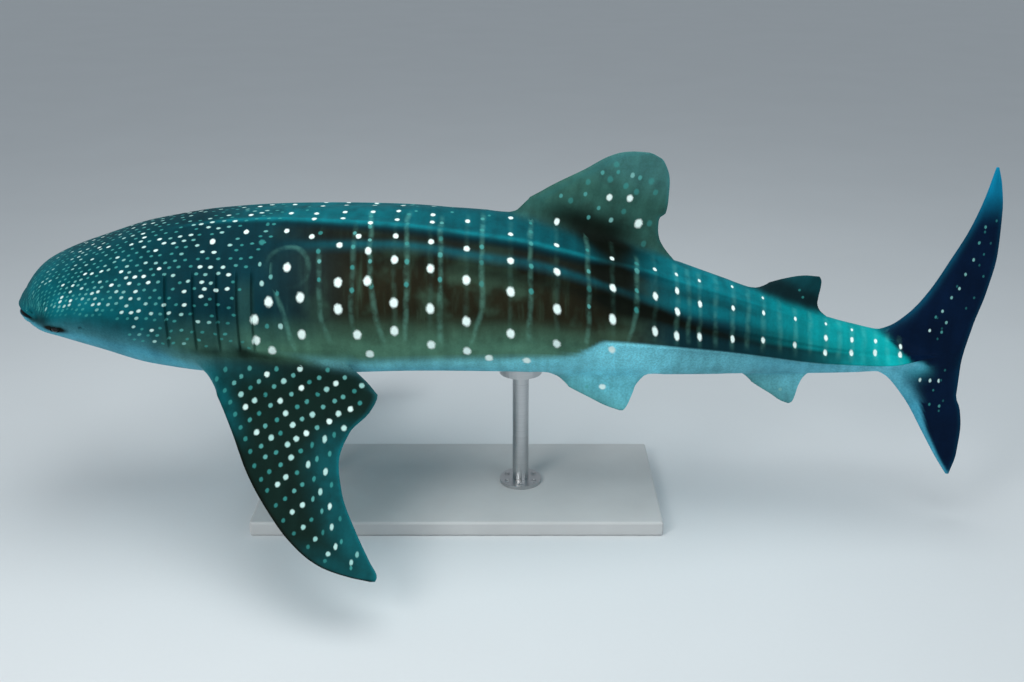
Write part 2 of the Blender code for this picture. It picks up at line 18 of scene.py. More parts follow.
import bpy
import numpy as np
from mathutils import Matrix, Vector

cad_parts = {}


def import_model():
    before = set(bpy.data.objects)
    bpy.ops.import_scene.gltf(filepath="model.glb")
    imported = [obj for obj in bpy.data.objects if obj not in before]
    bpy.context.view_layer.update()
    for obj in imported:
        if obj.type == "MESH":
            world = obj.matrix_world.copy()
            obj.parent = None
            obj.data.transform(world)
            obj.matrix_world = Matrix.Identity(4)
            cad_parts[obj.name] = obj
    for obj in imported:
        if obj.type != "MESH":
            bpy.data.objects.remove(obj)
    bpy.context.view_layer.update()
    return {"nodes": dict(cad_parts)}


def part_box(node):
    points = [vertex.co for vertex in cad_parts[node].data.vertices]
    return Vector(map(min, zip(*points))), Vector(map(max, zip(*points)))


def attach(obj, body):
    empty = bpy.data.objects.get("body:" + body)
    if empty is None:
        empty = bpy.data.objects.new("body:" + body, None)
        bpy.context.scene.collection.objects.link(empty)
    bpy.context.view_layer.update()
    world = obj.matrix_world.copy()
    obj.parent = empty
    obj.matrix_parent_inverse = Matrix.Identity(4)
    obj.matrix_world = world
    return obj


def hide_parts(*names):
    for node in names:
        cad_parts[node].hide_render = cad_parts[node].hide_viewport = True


Array = np.ndarray
Pairs = tuple[tuple[float, float], ...]
Colour = tuple[float, float, float]
log = logging.getLogger("whale_shark")


def ease(x: Array | float) -> Array:
    """Smooth step, 3x^2 - 2x^3, from 0 at x = 0 to 1 at x = 1."""
    x = np.clip(x, 0.0, 1.0)
    return x * x * (3 - 2 * x)


def bell(x: Array | float) -> Array:
    """Bell curve, e to the power of minus x squared."""
    return np.exp(-np.square(x))


@dataclass(frozen=True)
class Shell:
    """A closed surface of triangles, with the number of the ring that each triangle starts from."""

    vertices: Array
    triangles: Array
    ring: Array

    @classmethod
    def from_rings(cls, rings: Array) -> "Shell":
        """Close a stack of rings with a pole on each end.

        Args:
            rings: places as (ring, column, xyz), every ring with the same count.

        Returns:
            The shell, its triangles turned so that the volume inside them is positive.
        """
        count, width = rings.shape[:2]
        grid = np.arange(count * width).reshape(count, width)
        onward = np.roll(grid, -1, axis=1)
        near = np.stack([grid[:-1], onward[:-1], onward[1:]], -1).reshape(-1, 3)
        far = np.stack([grid[:-1], onward[1:], grid[1:]], -1).reshape(-1, 3)
        start = np.stack([onward[0], grid[0], np.full(width, grid.size)], -1)
        end = np.stack([grid[-1], onward[-1], np.full(width, grid.size + 1)], -1)
        vertices = np.concatenate([rings.reshape(-1, 3), rings[:1].mean(axis=1), rings[-1:].mean(axis=1)])
        triangles = np.concatenate([near, far, start, end])
        along = np.repeat(np.arange(count - 1), width)
        ring = np.concatenate([along, along, np.zeros(width, int), np.full(width, count - 1)])
        a, b, c = (vertices[triangles[:, k]] for k in range(3))
        volume = np.einsum("ij,ij->i", a, np.cross(b, c)).sum()
        return cls(vertices, triangles if volume > 0 else triangles[:, ::-1], ring)

    def moved(self, by: Array) -> "Shell":
        """The shell moved by a vector."""
        return Shell(self.vertices + by, self.triangles, self.ring)


def add_object(name: str, shells: list[Shell], materials: list[bpy.types.Material],
               numbers: Array | None = None) -> bpy.types.Object:
    """Put shells into one new object.

    Args:
        name: the object's name.
        shells: closed surfaces, left apart inside the mesh.
        materials: the mesh's materials.
        numbers: the material of each triangle, or None where there is one material.

    Returns:
        The object, linked to the scene.
    """
    starts = np.cumsum([0] + [len(shell.vertices) for shell in shells[:-1]])
    vertices = np.concatenate([shell.vertices for shell in shells])
    triangles = np.concatenate([shell.triangles + start for shell, start in zip(shells, starts)])
    mesh = bpy.data.meshes.new(name)
    mesh.from_pydata(vertices.tolist(), [], triangles.tolist())
    for material in materials:
        mesh.materials.append(material)
    if numbers is not None:
        mesh.polygons.foreach_set("material_index", numbers.astype(np.int32))
    made = bpy.data.objects.new(name, mesh)
    bpy.context.scene.collection.objects.link(made)
    return made


@dataclass(frozen=True)
class Course:
    """A smooth curve through (place, value) pairs that never overshoots them."""

    pairs: Pairs

    def __call__(self, at: Array | float) -> Array:
        """Value at each place: cubic pieces whose slopes are the harmonic means of their neighbours'.

        Args:
            at: places, held at the end values outside the pairs.

        Returns:
            The values.
        """
        x, y = np.array(self.pairs, float).T
        at = np.asarray(at, float)
        step = np.diff(x)
        slope = np.diff(y) / step
        tangent = np.empty_like(y)
        tangent[0], tangent[-1] = slope[0], slope[-1]
        same_way = slope[:-1] * slope[1:] > 0
        before, after = 2 * step[1:] + step[:-1], step[1:] + 2 * step[:-1]
        first, second = np.where(same_way, slope[:-1], 1.0), np.where(same_way, slope[1:], 1.0)
        tangent[1:-1] = np.where(same_way, (before + after) / (before / first + after / second), 0.0)
        k = np.clip(np.searchsorted(x, at, side="right") - 1, 0, len(x) - 2)
        u = np.clip((at - x[k]) / step[k], 0.0, 1.0)
        return ((1 + 2 * u) * (1 - u) ** 2 * y[k] + u * (1 - u) ** 2 * step[k] * tangent[k]
                + u * u * (3 - 2 * u) * y[k + 1] + u * u * (u - 1) * step[k] * tangent[k + 1])


@dataclass
class SwimmingCurve:
    """The sideways curve of the swimming animal, and where it stands over the base."""

    middle_station: float = 3.4
    eye_level: float = 1.75
    head_turn: float = 6.0
    head_turn_end: float = 2.4
    tail_turn: float = -16.0
    tail_turn_start: float = 4.0
    tail_turn_end: float = 8.2
    s: Array = field(init=False)
    x: Array = field(init=False)
    y: Array = field(init=False)

    def __post_init__(self) -> None:
        """Add up short steps along the heading into a table of places."""
        self.s = np.linspace(-1.0, 9.0, 2001)
        step = self.s[1] - self.s[0]
        turn = self.heading(self.s[:-1] + step / 2)
        self.x = np.concatenate([[0.0], np.cumsum(np.cos(turn)) * step])
        self.y = np.concatenate([[0.0], np.cumsum(np.sin(turn)) * step])
        self.x -= np.interp(self.middle_station, self.s, self.x)
        self.y -= np.interp(self.middle_station, self.s, self.y)

    def heading(self, s: Array) -> Array:
        """Heading in radians from +X towards +Y, eased from the head's turn to the tail's turn."""
        tail = self.tail_turn * ease((s - self.tail_turn_start) / (self.tail_turn_end - self.tail_turn_start))
        head = self.head_turn * (1 - ease(s / self.head_turn_end))
        return np.radians(tail + head)

    def posed(self, points: Array) -> Array:
        """World places of straight-frame points: along the curve by s, across it by y."""
        points = np.asarray(points, float)
        s, across, z = points[..., 0], points[..., 1], points[..., 2]
        turn = self.heading(s)
        return np.stack([np.interp(s, self.s, self.x) - across * np.sin(turn),
                         np.interp(s, self.s, self.y) + across * np.cos(turn),
                         z + self.eye_level], axis=-1)

    def straight(self, places: Array) -> Array:
        """Straight-frame points of world places, found by sliding along the curve to the nearest section."""
        s = np.interp(places[:, 0], self.x, self.s)
        for _ in range(8):
            turn = self.heading(s)
            ahead = places[:, 0] - np.interp(s, self.s, self.x)
            aside = places[:, 1] - np.interp(s, self.s, self.y)
            s = s + ahead * np.cos(turn) + aside * np.sin(turn)
        turn = self.heading(s)
        ahead = places[:, 0] - np.interp(s, self.s, self.x)
        aside = places[:, 1] - np.interp(s, self.s, self.y)
        return np.stack([s, aside * np.cos(turn) - ahead * np.sin(turn), places[:, 2] - self.eye_level], axis=-1)


@dataclass(frozen=True)
class Ridge:
    """One raised line along each side of the body: it rises gently from above and falls steeply below."""

    crest: Course
    height: Course
    rise: float
    fall: float

    def relief(self, t: Array, angle: Array) -> Array:
        """Height over the plain skin at a station and an angle from the back, a bell with unequal sides."""
        off = angle - self.crest(t)
        start, end = self.height.pairs[0][0], self.height.pairs[-1][0]
        height = np.where((t > start) & (t < end), self.height(t), 0.0)
        return height * bell(off / np.where(off < 0, self.rise, self.fall))


@dataclass(frozen=True)
class Pit:
    """An oval hollow in the skin with a raised rim, such as a nostril, a spiracle or the eye's socket."""

    station: float
    angle: float
    half_along: float
    half_around: float
    depth: float
    rim: float
    rim_width: float

    def relief(self, along: Array, around: Array) -> Array:
        """Height at metric offsets from the pit's middle: a flat-bottomed hollow and a bell-shaped rim."""
        reach = np.hypot(along / self.half_along, around / self.half_around)
        size = math.sqrt(self.half_along * self.half_around)
        hollow = -self.depth * (1 - ease((reach - 0.55) / 0.45))
        return hollow + self.rim * bell((reach - 1.0) * size / self.rim_width)


EYE = Pit(0.33, 112.0, 0.040, 0.032, 0.030, 0.013, 0.011)
SPIRACLE = Pit(0.60, 103.0, 0.030, 0.018, 0.022, 0.005, 0.010)
NOSTRIL = Pit(0.045, 62.0, 0.018, 0.034, 0.020, 0.003, 0.010)


@dataclass
class BodyForm:
    """The body without its fins, as a point for each station and angle.

    Angle 0 is the back, +90 the left side, -90 the right side and 180 the belly. A section is a rounded
    shape between the back line and the belly line, flatter underneath than on top.
    """

    curve: SwimmingCurve
    tail_end: float = 7.15
    half_width: Course = Course((
        (0.0, 0.45), (0.1, 0.52), (0.2, 0.555), (0.4, 0.59), (0.7, 0.63), (1.1, 0.67), (1.6, 0.71), (2.2, 0.725),
        (3.0, 0.705), (3.8, 0.64), (4.6, 0.53), (5.2, 0.42), (5.8, 0.31), (6.3, 0.22), (6.8, 0.145), (7.0, 0.07),
        (7.15, 0.02)))
    back: Course = Course((
        (0.0, 0.025), (0.03, 0.07), (0.1, 0.15), (0.2, 0.23), (0.4, 0.34), (0.7, 0.45), (1.1, 0.575), (1.6, 0.65),
        (2.2, 0.675), (3.0, 0.68), (3.8, 0.64), (4.6, 0.435), (5.2, 0.22), (5.8, 0.01), (6.3, -0.165),
        (6.8, -0.265), (7.15, -0.35)))
    belly: Course = Course((
        (0.0, -0.045), (0.03, -0.085), (0.1, -0.13), (0.2, -0.175), (0.4, -0.24), (0.7, -0.335), (1.1, -0.475),
        (1.6, -0.55), (2.2, -0.57), (3.0, -0.56), (3.8, -0.585), (4.6, -0.635), (5.2, -0.635), (5.8, -0.62),
        (6.3, -0.595), (6.8, -0.54), (7.15, -0.45)))
    widest_share: Course = Course((
        (0.0, 0.5), (0.4, 0.5), (1.1, 0.47), (2.2, 0.45), (3.8, 0.44), (5.2, 0.46), (6.3, 0.5), (7.15, 0.5)))
    back_power: Course = Course((
        (0.0, 2.0), (0.4, 2.2), (1.1, 2.1), (2.2, 2.0), (3.8, 1.8), (5.2, 1.8), (6.3, 1.9), (7.15, 2.0)))
    belly_power: Course = Course((
        (0.0, 2.0), (0.2, 2.2), (0.7, 2.5), (1.6, 2.5), (3.0, 2.3), (4.6, 2.1), (5.8, 2.0), (7.15, 2.0)))
    snout_start: float = 0.076
    snout_length: float = 0.3
    corner_sweep: float = 0.18
    sweep_length: float = 0.9
    sweep_power: float = 2.6
    ridges: tuple[Ridge, ...] = (
        Ridge(Course(((0.0, 24), (1.8, 18), (2.9, 26), (3.6, 33), (4.3, 37), (5.3, 34), (7.15, 32))),
              Course(((1.3, 0.0), (2.0, 0.018), (3.0, 0.030), (4.3, 0.030), (5.3, 0.020), (6.2, 0.0))), 6.0, 3.0),
        Ridge(Course(((0.0, 52), (1.9, 42), (2.9, 42.5), (3.6, 49), (4.4, 55), (5.3, 68), (7.15, 76))),
              Course(((1.9, 0.0), (2.8, 0.022), (4.0, 0.032), (5.4, 0.026), (6.6, 0.0))), 6.0, 3.0),
        Ridge(Course(((0.0, 104), (3.0, 100), (4.5, 96), (5.3, 96), (6.1, 100), (6.6, 96), (7.15, 90))),
              Course(((3.2, 0.0), (4.2, 0.018), (5.4, 0.035), (6.3, 0.075), (6.75, 0.10), (7.0, 0.04),
                      (7.15, 0.0))), 8.0, 5.0))
    gill_slits: tuple[float, ...] = (1.30, 1.51, 1.69, 1.84, 1.95)
    gill_top: float = 54.0
    gill_bottom: float = 110.0
    gill_fade: float = 7.0
    gill_flap: Course = Course(((-0.060, 0.0), (-0.022, 0.007), (-0.006, 0.012), (0.001, -0.014),
                                (0.008, -0.008), (0.022, 0.0)))
    mouth_pocket: tuple[tuple[float, float, float], ...] = (
        (0.17, 0.33, 0.010), (0.13, 0.36, 0.013), (0.10, 0.385, 0.016), (0.06, 0.412, 0.019),
        (0.03, 0.430, 0.022), (0.012, 0.441, 0.026), (0.003, 0.446, 0.032))
    mouth_level: float = -0.01
    lip_roll: float = 0.005
    pits: tuple[Pit, ...] = (EYE, SPIRACLE, NOSTRIL)

    def gill_relief(self, t: Array, angle: Array) -> Array:
        """Height of the gill flaps: each swells towards the tail and drops into its slit."""
        inside = ease((angle - self.gill_top) / self.gill_fade) * ease((self.gill_bottom - angle) / self.gill_fade)
        first, last = self.gill_flap.pairs[0][0], self.gill_flap.pairs[-1][0]
        height = np.zeros(np.broadcast(t, angle).shape)
        for slit in self.gill_slits:
            off = t - slit
            height = height + np.where((off > first) & (off < last), self.gill_flap(off), 0.0)
        return inside * height

    def sweep(self, t: Array, share: Array) -> Array:
        """How far a place lies behind its station: the snout's start, and its corners swept further back."""
        ahead = self.snout_start * (1 - ease(t / self.snout_length))
        return ahead + self.corner_sweep * (1 - ease(t / self.sweep_length)) * share ** self.sweep_power

    def point(self, t: Array | float, phi: Array | float, fine: bool = True) -> Array:
        """Straight-frame point of the skin.

        A section is a superellipse: across is sin(phi) to the power 2/p, upward is cos(phi) to the same power.

        Args:
            t: station along the body in metres.
            phi: angle round the section in degrees.
            fine: whether lids, nostrils and lips are added to the ridges and gills.

        Returns:
            Points (s, y, z), pushed out from the section by the relief.
        """
        t, phi = np.broadcast_arrays(np.asarray(t, float), np.asarray(phi, float))
        width, back, belly = self.half_width(t), self.back(t), self.belly(t)
        level = belly + self.widest_share(t) * (back - belly)
        across, upward = np.sin(np.radians(phi)), np.cos(np.radians(phi))
        power = np.where(upward >= 0, self.back_power(t), self.belly_power(t))
        half = np.where(upward >= 0, back - level, level - belly)
        y = -width * np.sign(across) * np.abs(across) ** (2 / power)
        z = level + half * np.sign(upward) * np.abs(upward) ** (2 / power)
        out_y, out_z = -across * half, upward * width
        length = np.hypot(out_y, out_z) + 1e-9
        angle = np.abs(phi)
        relief = sum(ridge.relief(t, angle) for ridge in self.ridges) + self.gill_relief(t, angle)
        if fine:
            relief = relief + self.lip_roll * (bell((t - 0.030) / 0.016) - 0.8 * bell((t - 0.075) / 0.022))
            for pit in self.pits:
                round_size = math.radians(1.0) * np.hypot(width * upward, half * across)
                relief = relief + pit.relief(t - pit.station, (angle - pit.angle) * round_size)
        s = t + self.sweep(t, np.abs(y / width))
        return np.stack([s, y + relief * out_y / length, z + relief * out_z / length], axis=-1)

    def place(self, straight: Array) -> tuple[Array, Array]:
        """Station and signed angle of straight-frame points, undoing the superellipse and the sweep."""
        s, y, z = straight.T
        t = np.clip(s, 0.0, self.tail_end)
        for _ in range(14):
            share = np.clip(np.abs(y) / self.half_width(t), 0.0, 1.0)
            t = np.clip(0.3 * t + 0.7 * (s - self.sweep(t, share)), 0.0, self.tail_end)
        back, belly = self.back(t), self.belly(t)
        level = belly + self.widest_share(t) * (back - belly)
        upward = z >= level
        power = np.where(upward, self.back_power(t), self.belly_power(t))
        half = np.where(upward, back - level, level - belly)
        across = (np.abs(y) / self.half_width(t)) ** (power / 2)
        height = (np.abs(z - level) / half) ** (power / 2) * np.where(upward, 1.0, -1.0)
        return t, np.degrees(np.arctan2(across, height)) * np.where(y > 0, -1.0, 1.0)

    def ring_angles(self, t: Array) -> Array:
        """Angles of the skin's columns at each station, packed close on the ridges and round the eye.

        Args:
            t: stations, one for each ring.

        Returns:
            One row of angles for each ring, going once round from the back by the left side.
        """
        low, mid, keel = (ridge.crest(t) for ridge in self.ridges)
        keel_foot = keel + 7 + 9 * (1 - ease((t - 0.9) / 1.5))
        knots = (np.zeros_like(t), low - 6, low, low + 4, mid - 6, mid, mid + 4, keel - 8, keel, keel_foot,
                 np.full_like(t, 180.0))
        counts = (8, 5, 4, 6, 5, 4, 20, 7, 10, 20)
        half = [knots[0][:, None]]
        for start, end, count in zip(knots, knots[1:], counts):
            share = np.arange(1, count + 1) / count
            half.append(start[:, None] + (end - start)[:, None] * share)
        half = np.concatenate(half, axis=1)
        return np.concatenate([half, -half[:, -2:0:-1]], axis=1)

    def stations(self) -> Array:
        """Stations of the skin's rings: close at the lips, the eye and the gill slits, wider on the trunk."""
        lips = (0.0, 0.004, 0.010, 0.018, 0.028, 0.040, 0.052, 0.064)
        slits = [slit + off for slit in self.gill_slits for off in (-0.014, -0.007, -0.0035, 0.0, 0.003, 0.008)]
        runs = [np.arange(0.076, 0.62, 0.012), np.arange(0.62, 1.22, 0.020), np.arange(1.22, 2.03, 0.0125),
                np.arange(2.03, self.tail_end, 0.0265)]
        even = np.concatenate(runs)
        away = np.abs(even[:, None] - np.array(slits)[None, :]).min(axis=1) > 0.004
        return np.sort(np.concatenate([lips, even[away], slits, [self.tail_end]]))

    def rings(self) -> Array:
        """World grid of the whole body, from the back of the mouth over the lips to the end of the tail."""
        t = self.stations()
        skin = self.curve.posed(self.point(t[:, None], self.ring_angles(t)))
        phi = np.radians(self.ring_angles(np.zeros(1)))
        depth, half_width, half_height = (np.array(self.mouth_pocket).T)[:, :, None]
        y, z = -half_width * np.sin(phi), half_height * np.cos(phi)
        s = self.snout_start + depth + self.corner_sweep * np.abs(y / self.half_width(0.0)) ** self.sweep_power
        pocket = self.curve.posed(np.stack([s, y, self.mouth_level + z], axis=-1))
        return np.concatenate([pocket, skin])

    def frame(self, station: float, angle: float, side: int) -> tuple[Vector, Vector, Vector, Vector]:
        """World place on the plain skin with its directions along the body, across it and outwards."""
        phi, small = -side * angle, 1e-3
        centre = self.curve.posed(self.point(station, phi, fine=False))
        ahead = self.curve.posed(self.point(station + small, phi, False)) - self.curve.posed(
            self.point(station - small, phi, False))
        around = self.curve.posed(self.point(station, phi + 0.1, False)) - self.curve.posed(
            self.point(station, phi - 0.1, False))
        out = Vector(np.cross(around, ahead)).normalized()
        along = Vector(ahead).normalized()
        across = out.cross(along).normalized()
        return Vector(centre), across.cross(out), across, out


class Hold(Enum):
    """How a fin is held: upright on the middle plane, hanging from it, or drooping at one side."""

    UP = "up"
    DOWN = "down"
    SIDE = "side"


class Ground(Enum):
    """Ground colours of the skin, each with the name of the attribute that holds its share. LIT and STOCK are painted
    light, DARK is mostly painted shade, BLUE is partly painted shade of the underside, and PALE also lays painted
    highlights along edges.
    """

    LIT = "lit_teal"
    # Painted light on the top of the tail stock.
    STOCK = "lit_stock_teal"
    BROWN = "flank_brown"
    OLIVE = "flank_olive"
    GREEN = "fin_green"
    GREY = "fin_grey"
    NAVY = "tail_navy"
    # Blue of the tail, and painted shade on the underside of the head and the forward trunk.
    BLUE = "blue_and_underside_shade"
    # The belly's own pale, and painted highlights along edges.
    PALE = "pale_and_painted_highlight"
    # Near-black, mostly painted shade: below the ridges, the first dorsal fin's shadow, the eye's socket, the gill
    # slits and the nostrils.
    DARK = "dark_and_painted_shade"
    MOUTH = "mouth_lining"


@dataclass(frozen=True)
class FinForm:
    """A fin as a run of aerofoil sections from its sunken root to its tip.

    A place on it has c, the length along the chord, and q, the length out from the root line.
    """

    name: str
    hold: Hold
    origin: tuple[float, float]
    turn: float
    front: Course
    rear: Course
    thick: Course
    side: int = 0
    edge_half: float = 0.003
    chord_steps: int = 24
    row_gap: float = 0.032

    def place(self, c: Array, q: Array, n: Array) -> Array:
        """Straight-frame points at chord c, distance q from the root line and n off the fin's plane."""
        a = math.radians(self.turn)
        if self.hold is Hold.SIDE:
            y = self.side * (self.origin[0] + q * math.cos(a) + n * math.sin(a))
            return np.stack([c, y, self.origin[1] - q * math.sin(a) + n * math.cos(a)], axis=-1)
        way = -1 if self.hold is Hold.DOWN else 1
        s = self.origin[0] + c * math.cos(a) - way * q * math.sin(a)
        z = self.origin[1] + c * math.sin(a) + way * q * math.cos(a)
        return np.stack([s, n, z], axis=-1)

    def coords(self, straight: Array) -> tuple[Array, Array, Array]:
        """Chord c, distance q and offset n of straight-frame points, the inverse turn of place."""
        a = math.radians(self.turn)
        s, y, z = straight.T
        if self.hold is Hold.SIDE:
            across, up = self.side * y - self.origin[0], z - self.origin[1]
            return s, across * math.cos(a) - up * math.sin(a), across * math.sin(a) + up * math.cos(a)
        way = -1 if self.hold is Hold.DOWN else 1
        ahead, up = s - self.origin[0], z - self.origin[1]
        return ahead * math.cos(a) + up * math.sin(a), way * (up * math.cos(a) - ahead * math.sin(a)), y

    def rows(self) -> Array:
        """Distances q of the sections, evenly spaced and closer at the tip."""
        low, high = self.front.pairs[0][0], self.front.pairs[-1][0]
        low = max(low, self.rear.pairs[0][0])
        count = max(10, round((high - low) / self.row_gap))
        even = np.linspace(0.0, 1.0, count + 1)
        return low + (high - low) * (even + 0.25 * np.sin(math.pi * even) / math.pi)

    def rings(self, curve: SwimmingCurve) -> Array:
        """World grid of the fin: thickness follows a rounded section, 0.297 root c less a fourth-order sum."""
        share = (1 - np.cos(np.linspace(0.0, math.pi, self.chord_steps + 1))) / 2
        section = 10 * (0.2969 * np.sqrt(share) - 0.126 * share - 0.3516 * share ** 2 + 0.2843 * share ** 3
                        - 0.1036 * share ** 4)
        q = self.rows()[:, None]
        front, rear = self.front(q), self.rear(q)
        half = self.thick(q) * section + self.edge_half * share
        chord = front + (rear - front) * share
        c = np.concatenate([chord, chord[:, -1:0:-1]], axis=1)
        n = np.concatenate([half, -half[:, -1:0:-1]], axis=1)
        return curve.posed(self.place(c, np.broadcast_to(q, c.shape), n))


DORSAL = FinForm(
    "first_dorsal_fin", Hold.UP, (3.80, 0.66), -18.0,
    Course(((-0.16, 0.02), (0.0, 0.03), (0.24, 0.21), (0.47, 0.44), (0.67, 0.645), (0.72, 0.755), (0.746, 0.86))),
    Course(((-0.16, 0.90), (-0.01, 0.98), (0.012, 1.33), (0.03, 1.35), (0.075, 1.26), (0.13, 1.18), (0.23, 1.125),
            (0.30, 1.11), (0.35, 1.14), (0.52, 1.105), (0.62, 1.07), (0.70, 1.01), (0.736, 0.96), (0.746, 0.90))),
    Course(((-0.16, 0.08), (0.0, 0.07), (0.3, 0.045), (0.6, 0.02), (0.746, 0.006))), row_gap=0.018)
SECOND_DORSAL = FinForm(
    "second_dorsal_fin", Hold.UP, (5.62, 0.085), -24.0,
    Course(((-0.12, 0.0), (0.0, 0.06), (0.08, 0.14), (0.18, 0.25), (0.27, 0.38), (0.305, 0.47))),
    Course(((-0.12, 0.44), (0.0, 0.48), (0.012, 0.68), (0.03, 0.70), (0.07, 0.60), (0.14, 0.555), (0.25, 0.52),
            (0.29, 0.50), (0.305, 0.48))),
    Course(((-0.12, 0.04), (0.0, 0.034), (0.2, 0.016), (0.305, 0.004))), chord_steps=18, row_gap=0.014)
ANAL = FinForm(
    "anal_fin", Hold.DOWN, (5.545, -0.622), 4.0,
    Course(((-0.12, 0.02), (0.0, 0.06), (0.12, 0.19), (0.22, 0.33), (0.28, 0.41), (0.30, 0.46))),
    Course(((-0.12, 0.42), (0.0, 0.50), (0.012, 0.62), (0.03, 0.64), (0.08, 0.58), (0.15, 0.54), (0.25, 0.51),
            (0.29, 0.49), (0.30, 0.47))),
    Course(((-0.12, 0.035), (0.0, 0.03), (0.2, 0.014), (0.30, 0.004))), chord_steps=18, row_gap=0.014)
CAUDAL = FinForm(
    "caudal_fin", Hold.UP, (0.0, 0.0), 0.0,
    Course(((-1.39, 7.285), (-1.25, 7.19), (-1.05, 7.07), (-0.80, 6.92), (-0.56, 6.72), (-0.40, 6.66),
            (-0.24, 6.69), (-0.07, 6.87), (0.11, 6.99), (0.36, 7.11), (0.60, 7.215), (0.85, 7.29), (1.07, 7.335))),
    Course(((-1.39, 7.31), (-1.21, 7.345), (-1.01, 7.35), (-0.83, 7.325), (-0.72, 7.285), (-0.49, 7.285),
            (-0.15, 7.33), (0.12, 7.39), (0.44, 7.43), (0.75, 7.42), (0.95, 7.39), (1.07, 7.355))),
    Course(((-1.39, 0.005), (-1.0, 0.022), (-0.7, 0.04), (-0.40, 0.06), (-0.1, 0.05), (0.4, 0.028),
            (1.07, 0.005))))


def pelvic(side: int) -> FinForm:
    """A pelvic fin, small and rounded, on one side: -1 is the left, 1 the right."""
    return FinForm(
        "pelvic_fin", Hold.SIDE, (0.16, -0.50), 50.0,
        Course(((-0.10, 4.05), (0.08, 4.12), (0.18, 4.22), (0.30, 4.43), (0.37, 4.57), (0.40, 4.66))),
        Course(((-0.10, 4.60), (0.06, 4.68), (0.10, 4.86), (0.13, 4.88), (0.19, 4.80), (0.28, 4.76), (0.38, 4.71),
                (0.40, 4.69))),
        Course(((-0.10, 0.04), (0.1, 0.03), (0.3, 0.014), (0.40, 0.004))), side, chord_steps=18, row_gap=0.016)


def pectoral(side: int) -> FinForm:
    """A pectoral fin, long and swept, on one side: the left one droops more than the right one."""
    return FinForm(
        "pectoral_fin", Hold.SIDE, (0.55, -0.33), {-1: 36.0, 1: 27.0}[side],
        Course(((-0.28, 1.40), (0.0, 1.46), (0.26, 1.63), (0.60, 1.80), (0.95, 1.96), (1.25, 2.15), (1.49, 2.345),
                (1.65, 2.55), (1.73, 2.78), (1.75, 2.88))),
        Course(((-0.28, 2.25), (0.0, 2.48), (0.10, 2.69), (0.20, 2.80), (0.32, 2.85), (0.46, 2.80), (0.62, 2.67),
                (0.85, 2.61), (1.10, 2.65), (1.40, 2.77), (1.62, 2.88), (1.72, 2.93), (1.75, 2.92))),
        Course(((-0.28, 0.12), (0.0, 0.09), (0.4, 0.055), (1.0, 0.03), (1.75, 0.006))), side)


@dataclass
class SpotSheet:
    """Spots on one flat map: their middles, half sizes and brightness, one row (a, g, ha, hg, tone) each."""

    rows: list[tuple[float, float, float, float, float]] = field(default_factory=list)

    def add(self, along: float, around: float, size: float, tone: float, stretch: float = 1.0) -> None:
        """Add a spot of half size `size`, `stretch` times longer along than around, of the same area."""
        root = math.sqrt(stretch)
        self.rows.append((along, around, size * root, size / root, tone))

    def clear_of(self, along: Array, around: Array) -> "SpotSheet":
        """The sheet without the spots that a line of places on the map would cut.

        Args:
            along, around: the places, such as those where a fin grows out.

        Returns:
            A sheet with the spots that lie further from every place than 1.2 times their larger half size.
        """
        if not len(along):
            return self
        kept = [row for row in self.rows
                if np.hypot(along - row[0], around - row[1]).min() > 1.2 * max(row[2], row[3])]
        return SpotSheet(kept)

    def offsets(self, along: Array, around: Array, face_along: Array, face_around: Array,
                corner_face: Array) -> Array:
        """Each corner's offset from the spot nearest its face's middle, in units of that spot's half sizes.

        Args:
            along, around: places of the corners on the map.
            face_along, face_around: places of the faces' middles.
            corner_face: the face of each corner.

        Returns:
            Rows (offset along, offset around, brightness); far off where the sheet is empty.
        """
        if not self.rows:
            return np.tile((9.0, 9.0, 0.0), (len(along), 1))
        spots = np.array(self.rows)
        nearest = np.empty(len(face_along), int)
        for start in range(0, len(face_along), 4096):
            part = slice(start, start + 4096)
            da = (face_along[part, None] - spots[:, 0]) / spots[:, 2]
            dg = (face_around[part, None] - spots[:, 1]) / spots[:, 3]
            clear = (np.hypot(da, dg) - 1) * np.sqrt(spots[:, 2] * spots[:, 3])
            nearest[part] = clear.argmin(axis=1)
        spot = spots[nearest[corner_face]]
        return np.stack([(along - spot[:, 0]) / spot[:, 2], (around - spot[:, 1]) / spot[:, 3], spot[:, 4]], axis=-1)


@dataclass(frozen=True)
class Bar:
    """A thin pale upright line on the flank: its station against the angle from the back, and its strength."""

    course: Course
    strength: float

    def reach(self, angle: Array) -> Array:
        """How far along its own length the bar still shows, fading over the last degrees at each end."""
        top, bottom = self.course.pairs[0][0], self.course.pairs[-1][0]
        return ease((angle - top + 9) / 8) * ease((bottom + 4 - angle) / 12)


@dataclass(frozen=True)
class OpenRing:
    """The pale ring round the large spot behind the gills, open at the back, about a place on the flank."""

    station: float = 2.21
    angle: float = 54.0
    radius: float = 0.158
    strength: float = 0.9

    def polar(self, t: Array, girth: Array, middle_girth: float) -> tuple[Array, Array]:
        """Distance from the ring's line, and the turn round its middle in degrees, 90 towards the back."""
        ahead, aside = t - self.station, girth - middle_girth
        return np.hypot(ahead, aside) - self.radius, np.degrees(np.arctan2(-aside, ahead))


